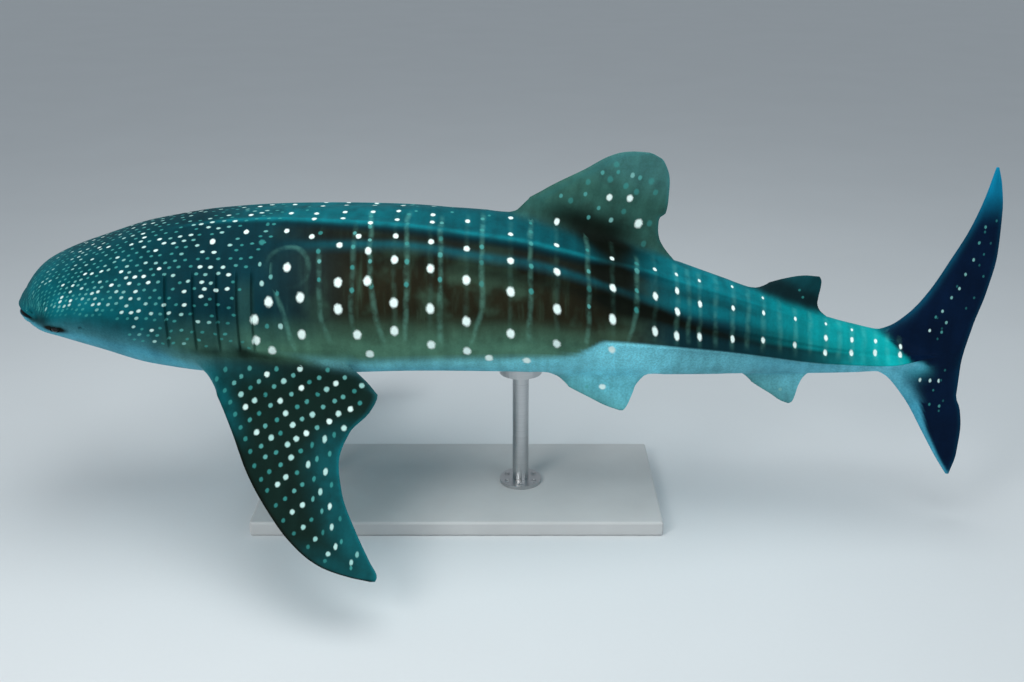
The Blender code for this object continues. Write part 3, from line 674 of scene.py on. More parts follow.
@dataclass
class Markings:
    """All the spots and bars of the animal, laid out on the body's and the fins' maps."""

    body: BodyForm
    seed: int = 12
    head_rows: int = 21
    head_bottom: float = 106.0
    head_pitch: float = 1.34
    head_jitter: float = 0.20
    columns: tuple[tuple[float, tuple[float, ...]], ...] = (
        (1.64, (35,)), (1.88, (10, 28)), (1.97, (86, 98)), (2.08, (75, 106)), (2.18, (9, 28)), (2.21, (54,)),
        (2.31, (72, 94)), (2.37, (10, 19, 33)), (2.58, (8, 18, 40, 63, 79)), (2.71, (33, 95)),
        (2.79, (8, 24, 44, 62, 112)), (2.98, (7, 19, 33, 49, 75, 93)), (3.24, (12, 21, 37, 54, 78, 104)),
        (3.50, (18, 41, 60, 86, 110)), (3.66, (118,)), (3.82, (9, 29, 48, 66, 94)), (3.94, (121,)), (4.16, (32, 51, 74, 100)),
        (4.58, (10, 31, 54, 76, 102)), (4.91, (29, 53, 82)), (5.08, (26, 43, 62, 84)), (5.26, (24, 50, 82)),
        (5.52, (15, 46, 81)), (5.76, (16, 42, 78)), (6.01, (36, 78)), (6.25, (25, 56, 85)), (6.45, (24, 50, 80)),
        (6.63, (44, 75)), (6.82, (49, 76)))
    bars: tuple[Bar, ...] = (
        Bar(Course(((57, 2.08), (74, 2.16), (111, 2.26))), 0.9), Bar(Course(((50, 2.44), (79, 2.45), (99, 2.51))), 0.8),
        Bar(Course(((30, 2.68), (84, 2.68), (96, 2.69))), 0.6), Bar(Course(((12, 2.78), (67, 2.82), (104, 2.90))), 0.9),
        Bar(Course(((14, 3.06), (60, 3.07), (102, 3.05))), 1.0), Bar(Course(((20, 3.31), (60, 3.31), (104, 3.31))), 0.9),
        Bar(Course(((12, 3.61), (75, 3.61), (104, 3.53))), 0.9), Bar(Course(((12, 3.97), (60, 3.97), (100, 3.96))), 0.9),
        Bar(Course(((17, 4.39), (60, 4.40), (102, 4.38))), 0.8), Bar(Course(((26, 4.77), (70, 4.76), (95, 4.70))), 0.8))
    shoulder: tuple[tuple[float, float, float, float], ...] = (
        (2.01, 52, 0.014, 0.50), (2.03, 64, 0.018, 0.60), (2.01, 37, 0.024, 0.30), (2.03, 22, 0.015, 0.30),
        (2.16, 90, 0.020, 0.60), (2.06, 90, 0.017, 0.35), (2.29, 4, 0.014, 0.32), (3.11, 7, 0.014, 0.35),
        (3.38, 7, 0.014, 0.35), (3.66, 9, 0.014, 0.32), (2.43, 30, 0.018, 0.28), (2.43, 44, 0.018, 0.34))
    ring: OpenRing = OpenRing()
    faint_from: float = 2.9
    faint: float = 0.22
    tail_from: float = 5.0
    tail_strength: float = 0.55
    dorsal_spots: tuple[tuple[float, float, float, float], ...] = (
        (0.37, 0.05, 0.022, 1.0), (0.69, 0.34, 0.024, 1.0), (0.84, 0.38, 0.025, 1.0), (0.97, 0.215, 0.032, 1.0),
        (0.83, 0.03, 0.022, 0.9), (0.59, 0.15, 0.016, 0.4), (0.76, 0.18, 0.018, 0.5), (0.34, 0.24, 0.015, 0.4),
        (0.58, 0.50, 0.016, 0.4), (0.80, 0.55, 0.018, 0.5), (0.69, 0.54, 0.015, 0.35), (0.86, 0.55, 0.017, 0.4),
        (0.51, 0.31, 0.015, 0.4), (0.64, 0.24, 0.015, 0.4), (0.66, 0.59, 0.022, 0.2), (0.87, 0.44, 0.022, 0.22),
        (0.95, 0.55, 0.024, 0.2), (1.01, 0.48, 0.020, 0.2), (0.42, 0.23, 0.020, 0.2), (0.65, 0.47, 0.024, 0.22),
        (0.78, 0.46, 0.022, 0.25), (1.05, 0.24, 0.022, 0.2), (0.83, 0.27, 0.020, 0.2), (0.50, 0.40, 0.020, 0.2),
        (1.06, 0.08, 0.022, 0.15))

    caudal_line: tuple[tuple[float, float, float], ...] = (
        (0.108, 0.63, 0.4), (0.14, 0.51, 0.4), (0.16, 0.38, 0.5), (0.19, 0.265, 0.5), (0.20, 0.153, 0.55),
        (0.235, 0.08, 0.5), (0.26, -0.03, 0.55), (0.29, -0.08, 0.35), (0.30, -0.19, 0.7), (0.36, -0.34, 0.7),
        (0.24, -0.36, 0.55), (0.20, -0.12, 0.5), (0.21, -0.20, 0.4), (0.22, -0.80, 0.3), (0.15, -0.81, 0.4))

    def __post_init__(self) -> None:
        """Prepare the table of girth lengths: steps of one degree round the plain skin, added up."""
        self.random = np.random.default_rng(self.seed)
        self.table_t = np.linspace(0.0, self.body.tail_end, 144)
        points = self.body.point(self.table_t[:, None], np.arange(181.0), fine=False)
        steps = np.linalg.norm(np.diff(points[..., 1:], axis=1), axis=-1)
        self.table = np.concatenate([np.zeros((len(points), 1)), np.cumsum(steps, axis=1)], axis=1)

    def girth(self, t: Array, phi: Array) -> Array:
        """Signed length round the skin from the back to an angle, read between the table's entries."""
        t, phi = np.broadcast_arrays(np.asarray(t, float), np.asarray(phi, float))
        u = np.clip(t / self.body.tail_end * (len(self.table_t) - 1), 0, len(self.table_t) - 1.001)
        v = np.clip(np.abs(phi), 0, 179.999)
        i, j = u.astype(int), v.astype(int)
        fu, fv = u - i, v - j
        low = self.table[i, j] * (1 - fv) + self.table[i, j + 1] * fv
        high = self.table[i + 1, j] * (1 - fv) + self.table[i + 1, j + 1] * fv
        return (low * (1 - fu) + high * fu) * np.sign(phi)

    def on_body(self, sheet: SpotSheet, t: float, phi: float, size: float, tone: float, stretch: float = 1.0) -> None:
        """Add a spot to the body's sheet at a station and a signed angle."""
        s = float(self.body.point(t, phi, fine=False)[0])
        sheet.add(s, float(self.girth(t, phi)), size, tone, stretch)

    def head_spots(self, sheet: SpotSheet) -> None:
        """Close rows of small long spots over the head, fanning out from the snout and growing tailwards.

        A row keeps its angle. Spots follow each other on it at head_pitch times the rows' own distance, every
        second row half a step on, and each is pushed a little off its place.
        """
        for row in range(self.head_rows):
            middle = self.head_bottom * (row + 0.5) / self.head_rows
            last = 2.12 - 0.3 * float(bell((middle - 80) / 30))
            for side in (-1, 1):
                t = 0.035
                t += 0.5 * (row % 2) * self.head_pitch * float(self.girth(t, self.head_bottom)) / self.head_rows
                while t < last:
                    pitch = float(self.girth(t, self.head_bottom)) / self.head_rows
                    push = self.random.uniform(-self.head_jitter, self.head_jitter, 2)
                    big, chance = self.random.random(2)
                    at, angle = t + push[0] * pitch, middle + push[1] * self.head_bottom / self.head_rows
                    tone = (0.36 + 0.55 * big ** 3.2) * (0.42 + 0.60 * float(ease((at - 0.05) / 0.6)))
                    tone *= 1 - 0.22 * float(ease((angle - 72) / 15) * ease((at - 0.9) / 0.3))
                    tone *= 1 - 0.6 * float(ease((angle - 78) / 8) * ease((1.05 - at) / 0.2))
                    tailward = float(ease((at - 1.1) / 0.5))
                    tone *= 1 - 0.14 * tailward
                    bare = angle > 90 and at < 1.0
                    if chance < (0.95 if t < 1.3 else 0.82) and not bare and not self.crowded(at, angle):
                        self.on_body(sheet, at, side * angle, pitch * (0.206 + 0.054 * big ** 2) * (1 - 0.05 * tailward), tone, 1.45)
                    t += pitch * self.head_pitch

    def crowded(self, t: float, angle: float) -> bool:
        """Whether a place on the shoulder is too near one of the large spots."""
        girth = float(self.girth(t, angle))
        near = 0.0
        for station, angles in self.columns[:9]:
            for each in angles:
                near = max(near, 0.075 - math.hypot(t - station, girth - float(self.girth(station, each))))
        return near > 0

    def flank_spots(self, sheet: SpotSheet) -> None:
        """Upright columns of large round spots, with small dim beads on the bars between them."""
        for side in (1, -1):
            loose = 0.0 if side > 0 else 1.0
            for station, angles in self.columns:
                shift = loose * self.random.uniform(-0.03, 0.03)
                for angle in angles:
                    drift = loose * self.random.uniform(-3.5, 3.5)
                    low = float(ease((angle - 20) / 50))
                    size = (0.020 + 0.013 * low) * (1 - 0.42 * float(ease((station - 4.3) / 1.6)))
                    tall = 1 / (1.25 + 0.45 * float(ease((station - 4.2) / 1.0)))
                    tone = 1.0 if angle < 100 else 0.9
                    self.on_body(sheet, station + shift, side * (angle + drift), size, tone, tall)
            for station, angle, size, tone in self.shoulder:
                self.on_body(sheet, station, side * angle, size, tone, 0.8)
            for bar in self.bars:
                top, bottom = bar.course.pairs[0][0], bar.course.pairs[-1][0]
                for angle in np.arange(top, min(bottom, 72), 13.0):
                    at = angle + self.random.uniform(-3, 3)
                    size, tone = self.random.uniform((0.015, 0.18), (0.021, 0.46))
                    self.on_body(sheet, float(bar.course(at)), side * at, size, tone, 0.8)

    def body_sheet(self) -> SpotSheet:
        """All the body's spots."""
        sheet = SpotSheet()
        self.head_spots(sheet)
        self.flank_spots(sheet)
        return sheet

    def pectoral_spots(self, fin: FinForm, sheet: SpotSheet) -> None:
        """Columns of spots that run parallel to the leading edge, every second one half a step further out."""
        for column in range(12):
            inset = 0.08 + 0.095 * column
            for q in np.arange(-0.02, 1.70, 0.102) + 0.051 * (column % 2):
                push = self.random.uniform(-0.010, 0.010, 2)
                big = self.random.random()
                c, at = float(fin.front(q)) + inset + push[0], q + push[1]
                behind = float(fin.rear(at)) - c
                if behind < 0.05:
                    continue
                bright = big > 0.55 and column > 0
                size = (0.0215 if bright else 0.0175) * (1 - 0.22 * float(ease((at - 0.7) / 0.9)))
                tone = 0.18 + 0.66 * big if bright else 0.28 + 0.34 * big * (column > 0)
                tone *= 1 - 0.22 * float(ease((at - 0.9) / 0.8)) - 0.15 * float(ease((0.16 - behind) / 0.1))
                sheet.add(c, at, size, tone, 0.52 if behind < 0.25 and at > 0.6 else 0.85)

    def caudal_spots(self, fin: FinForm, sheet: SpotSheet) -> None:
        """A line of small spots down the fin's middle, dimmer ones round it, and a row across the lower lobe."""
        for inset, q, tone in self.caudal_line:
            sheet.add(float(fin.rear(q)) - inset, q, 0.011, tone, 0.7)
        for q in np.arange(-0.85, 0.75, 0.085):
            front, rear = float(fin.front(q)), float(fin.rear(q))
            c = front + (rear - front) * self.random.uniform(0.38, 0.86)
            sheet.add(c, q, 0.009, self.random.uniform(0.10, 0.26), 0.7)
        for c in (7.00, 7.075, 7.14):
            sheet.add(c, -0.60, 0.013, 0.7, 0.6)

    def fin_sheet(self, fin: FinForm) -> SpotSheet:
        """The spots of one fin, in the fin's own c and q."""
        sheet = SpotSheet()
        if fin.name == "pectoral_fin":
            self.pectoral_spots(fin, sheet)
        elif fin.name == "caudal_fin":
            self.caudal_spots(fin, sheet)
        elif fin.name == "first_dorsal_fin":
            for c, q, size, tone in self.dorsal_spots:
                sheet.add(c, q, size, tone, 0.85)
        elif fin.name == "second_dorsal_fin":
            sheet.add(0.39, 0.15, 0.010, 0.3)
            sheet.add(0.44, 0.11, 0.010, 0.3)
        elif fin.name == "pelvic_fin":
            sheet.add(4.53, 0.22, 0.024, 1.0, 1.3)
            sheet.add(4.41, 0.22, 0.014, 0.4)
        else:
            sheet.add(0.40, 0.175, 0.014, 0.5)
        return sheet

    def all_bars(self) -> list[Bar]:
        """The main bars, a faint one through each column of spots, and one between each two on the tail."""
        stations = [station for station, angles in self.columns if station > self.faint_from and len(angles) > 1]
        middles = [(one + other) / 2 for one, other in zip(stations, stations[1:]) if one > self.tail_from]
        faint = [Bar(Course(((14, at), (94, at))), self.tail_strength if at > self.tail_from else self.faint)
                 for at in stations]
        return [*self.bars, *faint, *(Bar(Course(((10, at), (92, at))), self.tail_strength) for at in middles)]

    def bar_offsets(self, t: Array, phi: Array, face_t: Array, face_phi: Array, corner_face: Array) -> Array:
        """Each corner's distance from the bar or ring nearest its face, and how strongly that one shows there.

        A bar's distance is the station less the bar's own station at that angle. The ring's distance is the
        radius from its middle less its own radius.

        Args:
            t, phi: stations and signed angles of the corners.
            face_t, face_phi: those of the faces' middles.
            corner_face: the face of each corner.

        Returns:
            Rows (distance, strength, 0).
        """
        bars = self.all_bars()
        angle, face_angle = np.abs(phi), np.abs(face_phi)
        middle_girth = float(self.girth(self.ring.station, self.ring.angle))
        face_ring, _ = self.ring.polar(face_t, self.girth(face_t, face_angle), middle_girth)
        gaps = np.array([np.abs(face_t - bar.course(face_angle)) for bar in bars])
        nearest = np.where(np.abs(face_ring) < 0.03, len(bars), gaps.argmin(axis=0))[corner_face]
        distance, strength = np.zeros(len(t)), np.zeros(len(t))
        for number, bar in enumerate(bars):
            mine = nearest == number
            distance[mine] = t[mine] - bar.course(angle[mine])
            strength[mine] = bar.strength * bar.reach(angle[mine])
        mine = nearest == len(bars)
        distance[mine], turn = self.ring.polar(t[mine], self.girth(t[mine], angle[mine]), middle_girth)
        strength[mine] = self.ring.strength * bell((turn - 60) / 75)
        return np.stack([distance, strength, np.zeros_like(distance)], axis=-1)


@dataclass
class GroundPaint:
    """Shares of the ground colours over the skin, painted light and shade among them, as smooth functions of the place
    on each map.
    """

    body: BodyForm
    pale_edge: Course = Course(((0, 116), (0.5, 108), (1.0, 110), (1.4, 120), (2.0, 127), (2.6, 122), (3.2, 120),
                                (4.0, 117), (4.28, 112), (4.54, 94.5), (5.3, 95.5), (6.1, 100), (6.6, 97), (7.15, 92)))
    pale_blend: Course = Course(((0, 44), (1.0, 44), (1.8, 24), (3.2, 14), (4.2, 9), (4.56, 4.0), (5.0, 2.8), (7.15, 2.4)))
    eye_socket_shade: tuple[float, float] = (0.100, 0.060)
    lobe_band: Course = Course(((-1.39, 0.0), (-1.0, 0.03), (-0.8, 0.08), (-0.5, 0.16)))

    def on_body(self, t: Array, phi: Array) -> dict[Ground, Array]:
        """Shares on the body: painted light on the head, the ridge tops and the tail stock, painted shade below the
        ridges, under the first dorsal fin and in the hollows, brown flank, olive lower flank, pale belly.

        Args:
            t: stations.
            phi: signed angles from the back.

        Returns:
            The share of each ground colour that the body has.
        """
        angle = np.abs(phi)
        low, mid, keel = (ridge.crest(t) for ridge in self.body.ridges)
        trunk, tail = ease((t - 1.4) / 0.8), ease((t - 4.6) / 0.6)
        head = 1 - ease((t - 0.7) / 0.9)
        lit = head * (0.22 + 0.42 * (1 - ease((t - 0.1) / 0.6)) + 0.45 * bell((angle - 80) / 13) * ease((t - 0.15) / 0.4))
        lit = lit + trunk * (0.62 - 0.22 * ease((t - 2.4) / 1.3)) * (1 - ease((angle - low + 1) / 4))
        lit = lit + 0.55 * ease((t - 1.2) / 0.5) * bell((angle - low + 1.5) / 1.8) * (angle < low + 1)
        lit = lit + 0.28 * (1 - tail) * ease((t - 2.1) / 0.6) * bell((angle - mid + 3) / 3.5) * (angle < mid + 2)
        lit = lit + tail * 0.66 * (1 - ease((angle - 56) / 12))
        navy = ease((t - 6.60 - 0.26 * angle / 90) / 0.06)
        lit = lit * (1 - navy)
        # Painted light on the top of the tail stock, cut back below the painted shadow line.
        shadow_line = 66 + 16 * np.minimum(t - 4.8, 1.0)
        below = ease((angle - shadow_line + 3) / 8)
        stock = ease((t - 5.4) / 1.5) * (1 - navy) * (1 - 0.85 * below * ease((6.8 - t) / 0.8))
        # Painted shade below the first and the second ridge on the trunk.
        dark = 0.62 * ease((t - 2.0) / 0.6) * ease((angle - low - 1) / 3) * ease((mid - 3 - angle) / 6) * ease((4.9 - t) / 0.4)
        dark = dark + 0.60 * trunk * bell((angle - mid - 6) / 5) * ease((t - 2.4) / 0.6) * ease((4.9 - t) / 0.4)
        # Painted shadow of the first dorsal fin and its free rear tip on the back and the flank.
        dark = dark + 1.5 * bell((t - 4.55) / 0.26) * bell((angle - 12) / 14)
        dark = dark + 0.85 * bell((t - 4.62) / 0.20) * bell((angle - 38) / 20)
        dark = dark + 0.90 * bell((t - 4.72) / 0.28) * bell((angle - 68) / 11)
        # Painted shade on the tail stock: below the first ridge, along the shadow line and under it.
        dark = dark + 0.50 * ease((t - 4.8) / 0.3) * ease((6.0 - t) / 0.6) * bell((angle - low - 11) / 5)
        dark = dark + 0.85 * ease((t - 4.7) / 0.3) * ease((6.1 - t) / 0.8) * bell((angle - shadow_line) / 6)
        dark = dark + 0.30 * ease((t - 4.9) / 0.3) * ease((6.6 - t) / 0.6) * below
        # Darker ground below the pectoral fin's root line, and a dark patch low in front of it.
        root_edge = 101 + 30 * (t - 1.85)
        dark = dark + 0.8 * ease((t - 1.72) / 0.15) * ease((2.8 - t) / 0.3) * ease((angle - root_edge) / 6)
        dark = dark + 0.55 * bell((t - 1.62) / 0.16) * bell((angle - 109) / 4)
        # Painted shade over the lower front of the snout.
        dark = dark + 0.7 * (1 - ease((t - 0.12) / 0.24)) * bell((angle - 100) / 18)
        # Painted shade of the eye's socket: a dark oval round the eye.
        around_eye = (angle - EYE.angle) * math.radians(1.0) * self.body.half_width(t)
        patch = bell(np.hypot((t - EYE.station) / self.eye_socket_shade[0], around_eye / self.eye_socket_shade[1]))
        # Painted shade in the gill slits.
        slits = sum(bell((t - slit - 0.001) / 0.0065) for slit in self.body.gill_slits)
        slits = 0.30 * slits * ease((angle - 56) / 8) * ease((110 - angle) / 10)
        # Painted shade inside the nostrils.
        nostril = bell(np.hypot((t - NOSTRIL.station) / 0.02, (angle - NOSTRIL.angle) / 4.0))
        brown = 0.9 * ease((t - 1.9) / 0.9) * ease((5.2 - t) / 0.6) * ease((angle - low - 2) / 5)
        brown = brown * (1 - 0.8 * bell((angle - mid + 3) / 4.5) * (angle < mid + 3))
        olive = 0.95 * ease((t - 1.0) / 0.5) * ease((4.7 - t) / 0.4) * ease((angle - 79) / 30)
        olive = olive * (0.50 + 0.50 * ease((t - 1.75) / 0.35))
        flap = ease((t - 1.80) / 0.08) * ease((1.99 - t) / 0.05) * ease((angle - 56) / 16) * ease((108 - angle) / 10)
        # The pale belly, weakened under the head and the forward trunk as painted shade of the underside, and a little
        # at the tail.
        pale = ease((angle - self.pale_edge(t)) / self.pale_blend(t) + 0.5)
        pale = pale * (0.50 + 0.20 * ease((t - 1.2) / 0.5) + 0.34 * ease((t - 3.6) / 0.7)) * (1 - 0.25 * ease((t - 5.4) / 0.6)) * (1 - navy)
        # Painted highlight: a thin pale line along the rear of the pectoral fin's root line.
        rim = 0.8 * bell((t - 2.48) / 0.20) * bell((angle - root_edge + 1.5) / 1.5)
        # Blue under the tail stock, then painted shade on the underside of the head and the forward trunk.
        blue = ease((t - 5.3) / 0.5) * ease((angle - 100) / 6) * (1 - navy)
        blue = blue + 0.6 * ease((angle - 106 - 20 * ease((t - 1.1) / 0.5)) / 14) * (1 - ease((t - 3.4) / 0.8))
        return {Ground.LIT: np.clip(lit, 0, 1), Ground.STOCK: np.clip(stock, 0, 1), Ground.BROWN: brown,
                Ground.OLIVE: np.clip(olive + 0.16 * flap, 0, 1), Ground.PALE: np.clip(pale + rim, 0, 1), Ground.BLUE: np.clip(blue, 0, 1), Ground.NAVY: navy,
                Ground.DARK: np.clip(dark + 2.2 * patch + slits + nostril, 0, 1)}

    def on_fin(self, fin: FinForm, c: Array, q: Array, n: Array) -> dict[Ground, Array]:
        """Shares on a fin, with its edges and its underside told apart.

        Args:
            fin: the fin.
            c, q, n: places on it: along the chord, out from the root, and off its plane.

        Returns:
            The share of each ground colour that the fin has.
        """
        from_front, from_rear = c - fin.front(q), fin.rear(q) - c
        whole = np.ones_like(c)
        if fin.name == "pectoral_fin":
            # Painted light: at the root, along the leading edge, in a band before the trailing edge, at the tip and
            # along the trailing edge.
            lit = 0.55 * (1 - ease((q + 0.02) / 0.30)) * (1 - ease((from_front - 0.2) / 0.5))
            lit = lit + 0.45 * bell((from_front - 0.03) / 0.08) * (1 - ease((q - 0.35) / 0.5))
            band = 0.34 * ease((0.32 - from_rear) / 0.28) * ease((q - 0.45) / 0.3)
            lit = lit + np.maximum(band, 0.24 * ease((q - 1.42) / 0.25)) + 0.35 * bell(from_rear / 0.02)
            # Painted highlight: a pale line along the trailing edge near the root.
            rim = 0.9 * bell(from_rear / 0.030) * bell((q - 0.13) / 0.11)
            lobe = bell((q - 0.30) / 0.28) * ease((0.50 - from_rear) / 0.35)
            return {Ground.GREEN: whole, Ground.BROWN: 0.75 * lobe, Ground.LIT: np.clip(lit, 0, 1),
                    Ground.DARK: bell(from_front / 0.022) * ease((q - 0.5) / 0.3),
                    Ground.PALE: np.maximum(rim, 0.8 * ease(-n / 0.006))}
        if fin.name == "caudal_fin":
            lower = 1 - ease((q + 0.47) / 0.05)
            pale = lower * (1 - ease((from_front - self.lobe_band(q)) / 0.035))
            blue = 0.9 * ease((q - 0.62) / 0.42) + 0.10 * bell(from_rear / 0.02) + 0.25 * bell(from_front / 0.03)
            return {Ground.NAVY: whole, Ground.BLUE: np.clip(blue + pale, 0, 1),
                    Ground.PALE: pale * (0.35 + 0.45 * ease((q + 0.85) / 0.3))}
        if fin.name == "first_dorsal_fin":
            # Painted shade at the fin's base, and painted highlights along its leading and trailing edges.
            base = ease((c - 0.22) / 0.2) * ease((1.05 - c) / 0.15) * bell((q - 0.02) / 0.16)
            return {Ground.GREY: whole, Ground.BROWN: 0.8 * whole, Ground.DARK: np.clip(1.7 * base, 0, 0.97), Ground.PALE: 0.10 * ease((q - 0.35) / 0.3),
                    Ground.LIT: 0.15 * bell((from_front - 0.05) / 0.03) + 0.25 * bell(from_rear / 0.02)}
        if fin.name == "second_dorsal_fin":
            return {Ground.GREEN: whole, Ground.NAVY: 0.35 * whole, Ground.GREY: 0.12 * whole,
                    Ground.LIT: 0.20 * ease((q - 0.12) / 0.1)}
        return {Ground.OLIVE: 0.7 * whole, Ground.LIT: 0.25 * whole,
                Ground.PALE: 0.45 + 0.30 * ease(from_front / 0.35) - 0.15 * bell(from_front / 0.04)}


@dataclass
class Net:
    """A mesh as arrays: places of vertices, edges, and the vertex and face of each corner."""

    places: Array
    edges: Array
    corner_vertex: Array
    corner_face: Array
    region: Array

    @classmethod
    def of(cls, mesh: bpy.types.Mesh) -> "Net":
        """Read a mesh, whose material numbers say which region each face belongs to."""
        places, edges = np.empty(len(mesh.vertices) * 3), np.empty(len(mesh.edges) * 2, np.int32)
        mesh.vertices.foreach_get("co", places)
        mesh.edges.foreach_get("vertices", edges)
        corner_vertex, sizes = np.empty(len(mesh.loops), np.int32), np.empty(len(mesh.polygons), np.int32)
        mesh.loops.foreach_get("vertex_index", corner_vertex)
        mesh.polygons.foreach_get("loop_total", sizes)
        region = np.empty(len(mesh.polygons), np.int32)
        mesh.polygons.foreach_get("material_index", region)
        return cls(places.reshape(-1, 3), edges.reshape(-1, 2), corner_vertex,
                   np.repeat(np.arange(len(sizes)), sizes), region)

    def seam(self, region: Array) -> Array:
        """1 at vertices where faces of two regions meet, 0 elsewhere."""
        lowest, highest = np.full(len(self.places), 99), np.full(len(self.places), -1)
        np.minimum.at(lowest, self.corner_vertex, region[self.corner_face])
        np.maximum.at(highest, self.corner_vertex, region[self.corner_face])
        return (lowest != highest).astype(float)

    def spread(self, weight: Array, reach: int, fade: float) -> Array:
        """Weights that fade by the same factor with each edge away from the marked vertices."""
        for _ in range(reach):
            wider = weight.copy()
            np.maximum.at(wider, self.edges[:, 0], weight[self.edges[:, 1]] * fade)
            np.maximum.at(wider, self.edges[:, 1], weight[self.edges[:, 0]] * fade)
            weight = wider
        return np.where(weight < fade ** reach * 1.01, 0.0, weight)

    def neighbours(self, values: Array) -> Array:
        """Mean of the values of the vertices at the other ends of each vertex's edges."""
        count = len(self.places)
        one, other = self.edges.T
        total = np.bincount(one, values[other], count) + np.bincount(other, values[one], count)
        return total / np.maximum(np.bincount(self.edges.ravel(), minlength=count), 1)


@dataclass
class Skin:
    """The one skin of the animal: body and fins joined, smoothed where they meet, and mapped."""

    body: BodyForm
    fins: tuple[FinForm, ...]
    markings: Markings
    paint: GroundPaint
    smooth_rounds: int = 24
    smooth_reach: int = 7
    smooth_fade: float = 0.86
    blend_rounds: int = 5

    def joined(self) -> bpy.types.Object:
        """The body and all the fins united into one closed surface, its faces numbered by region.

        Returns:
            The skin's object: region 0 is the body, then come the fins, and the mouth's lining is the last.
        """
        regions = [bpy.data.materials.new(f"region_{number}") for number in range(len(self.fins) + 2)]
        rings = self.body.rings()
        of_ring = np.where(np.arange(len(rings)) < len(self.body.mouth_pocket) - 1, len(self.fins) + 1, 0)
        flesh = Shell.from_rings(rings)
        skin = add_object("skin", [flesh], regions, of_ring[flesh.ring])
        shells = [Shell.from_rings(fin.rings(self.body.curve)) for fin in self.fins]
        numbers = np.repeat(np.arange(len(shells)) + 1, [len(shell.triangles) for shell in shells])
        fins = add_object("fins", shells, regions, numbers)
        union = skin.modifiers.new("fins", "BOOLEAN")
        union.operation = "UNION"
        union.solver = "MANIFOLD"
        union.object = fins
        bpy.context.view_layer.update()
        whole = bpy.data.meshes.new_from_object(skin.evaluated_get(bpy.context.evaluated_depsgraph_get()))
        skin.modifiers.clear()
        skin.data = whole
        bpy.data.objects.remove(fins)
        return skin

    def mapped(self, number: int, here: Array, face: Array, cut: Array) -> tuple[Array, Array, Array, dict[Ground, Array]]:
        """Map, spots, bars and ground shares of the corners of one region.

        Args:
            number: the region.
            here: the corners' places in the straight frame.
            face: the face of each corner, counted within the region.
            cut: whether each corner lies on a seam between flesh and fin.

        Returns:
            Places on the map (along, around, 0), spot offsets, bar offsets, and the share of each ground.
        """
        bars = np.tile((9.0, 0.0, 0.0), (len(here), 1))
        if number == 0:
            t, phi = self.body.place(here)
            phi = np.abs(phi) * np.where(self.means(here[:, 1], face)[face] < 0, 1.0, -1.0)
            along, around = here[:, 0], self.markings.girth(t, phi)
            sheet, shares = self.markings.body_sheet(), self.paint.on_body(t, phi)
            bars = self.markings.bar_offsets(t, phi, self.means(t, face), self.means(phi, face), face)
        else:
            fin = self.fins[number - 1]
            along, around, off = fin.coords(here)
            sheet, shares = self.markings.fin_sheet(fin), self.paint.on_fin(fin, along, around, off)
        sheet = sheet.clear_of(along[cut], around[cut])
        spots = sheet.offsets(along, around, self.means(along, face), self.means(around, face), face)
        return np.stack([along, around, np.zeros_like(along)], axis=-1), spots, bars, shares

    def map_surface(self, mesh: bpy.types.Mesh, net: Net, seam: Array, weight: Array) -> None:
        """Write the spots, bars and ground colours into the mesh's attributes.

        The ground shares are averaged at each vertex, and near the fins' roots they are drawn towards those
        of the neighbours, so that one colour flows into the other.

        Args:
            mesh: the joined skin.
            net: its arrays, with the smoothed places.
            seam: 1 at vertices on a fin's root line.
            weight: how near each vertex is to such a line.
        """
        straight = self.body.curve.straight(net.places)
        corner_region = net.region[net.corner_face]
        count = len(net.corner_vertex)
        chart, bars = np.zeros((count, 3)), np.tile((9.0, 0.0, 0.0), (count, 1))
        spots = np.tile((9.0, 9.0, 0.0), (count, 1))
        total = {ground: np.zeros(len(net.places)) for ground in Ground}
        for number in range(len(self.fins) + 2):
            mine = corner_region == number
            vertex = net.corner_vertex[mine]
            _, face = np.unique(net.corner_face[mine], return_inverse=True)
            shares = {Ground.MOUTH: np.ones(len(vertex))}
            if number <= len(self.fins):
                chart[mine], spots[mine], bars[mine], shares = self.mapped(
                    number, straight[vertex], face, seam[vertex] > 0)
            for ground, share in shares.items():
                total[ground] += np.bincount(vertex, share, len(net.places))
        corners = np.maximum(np.bincount(net.corner_vertex, minlength=len(net.places)), 1)
        for ground, sum_of_shares in total.items():
            share = sum_of_shares / corners
            for _ in range(self.blend_rounds):
                share = share + weight * (net.neighbours(share) - share)
            mesh.attributes.new(ground.value, "FLOAT", "POINT").data.foreach_set("value", share.astype(np.float32))
        for name, values in (("chart", chart), ("spot_offset", spots), ("bar_offset", bars)):
            layer = mesh.attributes.new(name, "FLOAT_VECTOR", "CORNER")
            layer.data.foreach_set("vector", values.astype(np.float32).ravel())

    def means(self, values: Array, faces: Array) -> Array:
        """Mean of the corners' values over each face."""
        return np.bincount(faces, values) / np.bincount(faces)

    def build(self, finish: bpy.types.Material) -> bpy.types.Object:
        """Make the skin and dress it. Near the fins' roots each vertex moves towards its neighbours' middle.

        Args:
            finish: the skin's material.

        Returns:
            The finished object, standing in for every node of flesh.
        """
        skin = self.joined()
        mesh = skin.data
        net = Net.of(mesh)
        seam = net.seam(np.where(net.region > len(self.fins), 0, net.region))
        weight = net.spread(seam, self.smooth_reach, self.smooth_fade)
        for _ in range(self.smooth_rounds):
            middle = np.stack([net.neighbours(net.places[:, axis]) for axis in range(3)], axis=-1)
            net.places = net.places + 0.6 * weight[:, None] * (middle - net.places)
        mesh.vertices.foreach_set("co", net.places.ravel())
        self.map_surface(mesh, net, seam, weight)
        mesh.polygons.foreach_set("material_index", np.zeros(len(mesh.polygons), np.int32))
        mesh.materials.clear()
        mesh.materials.append(finish)
        mesh.shade_smooth()
        for number in range(len(self.fins) + 2):
            bpy.data.materials.remove(bpy.data.materials[f"region_{number}"])
        return skin


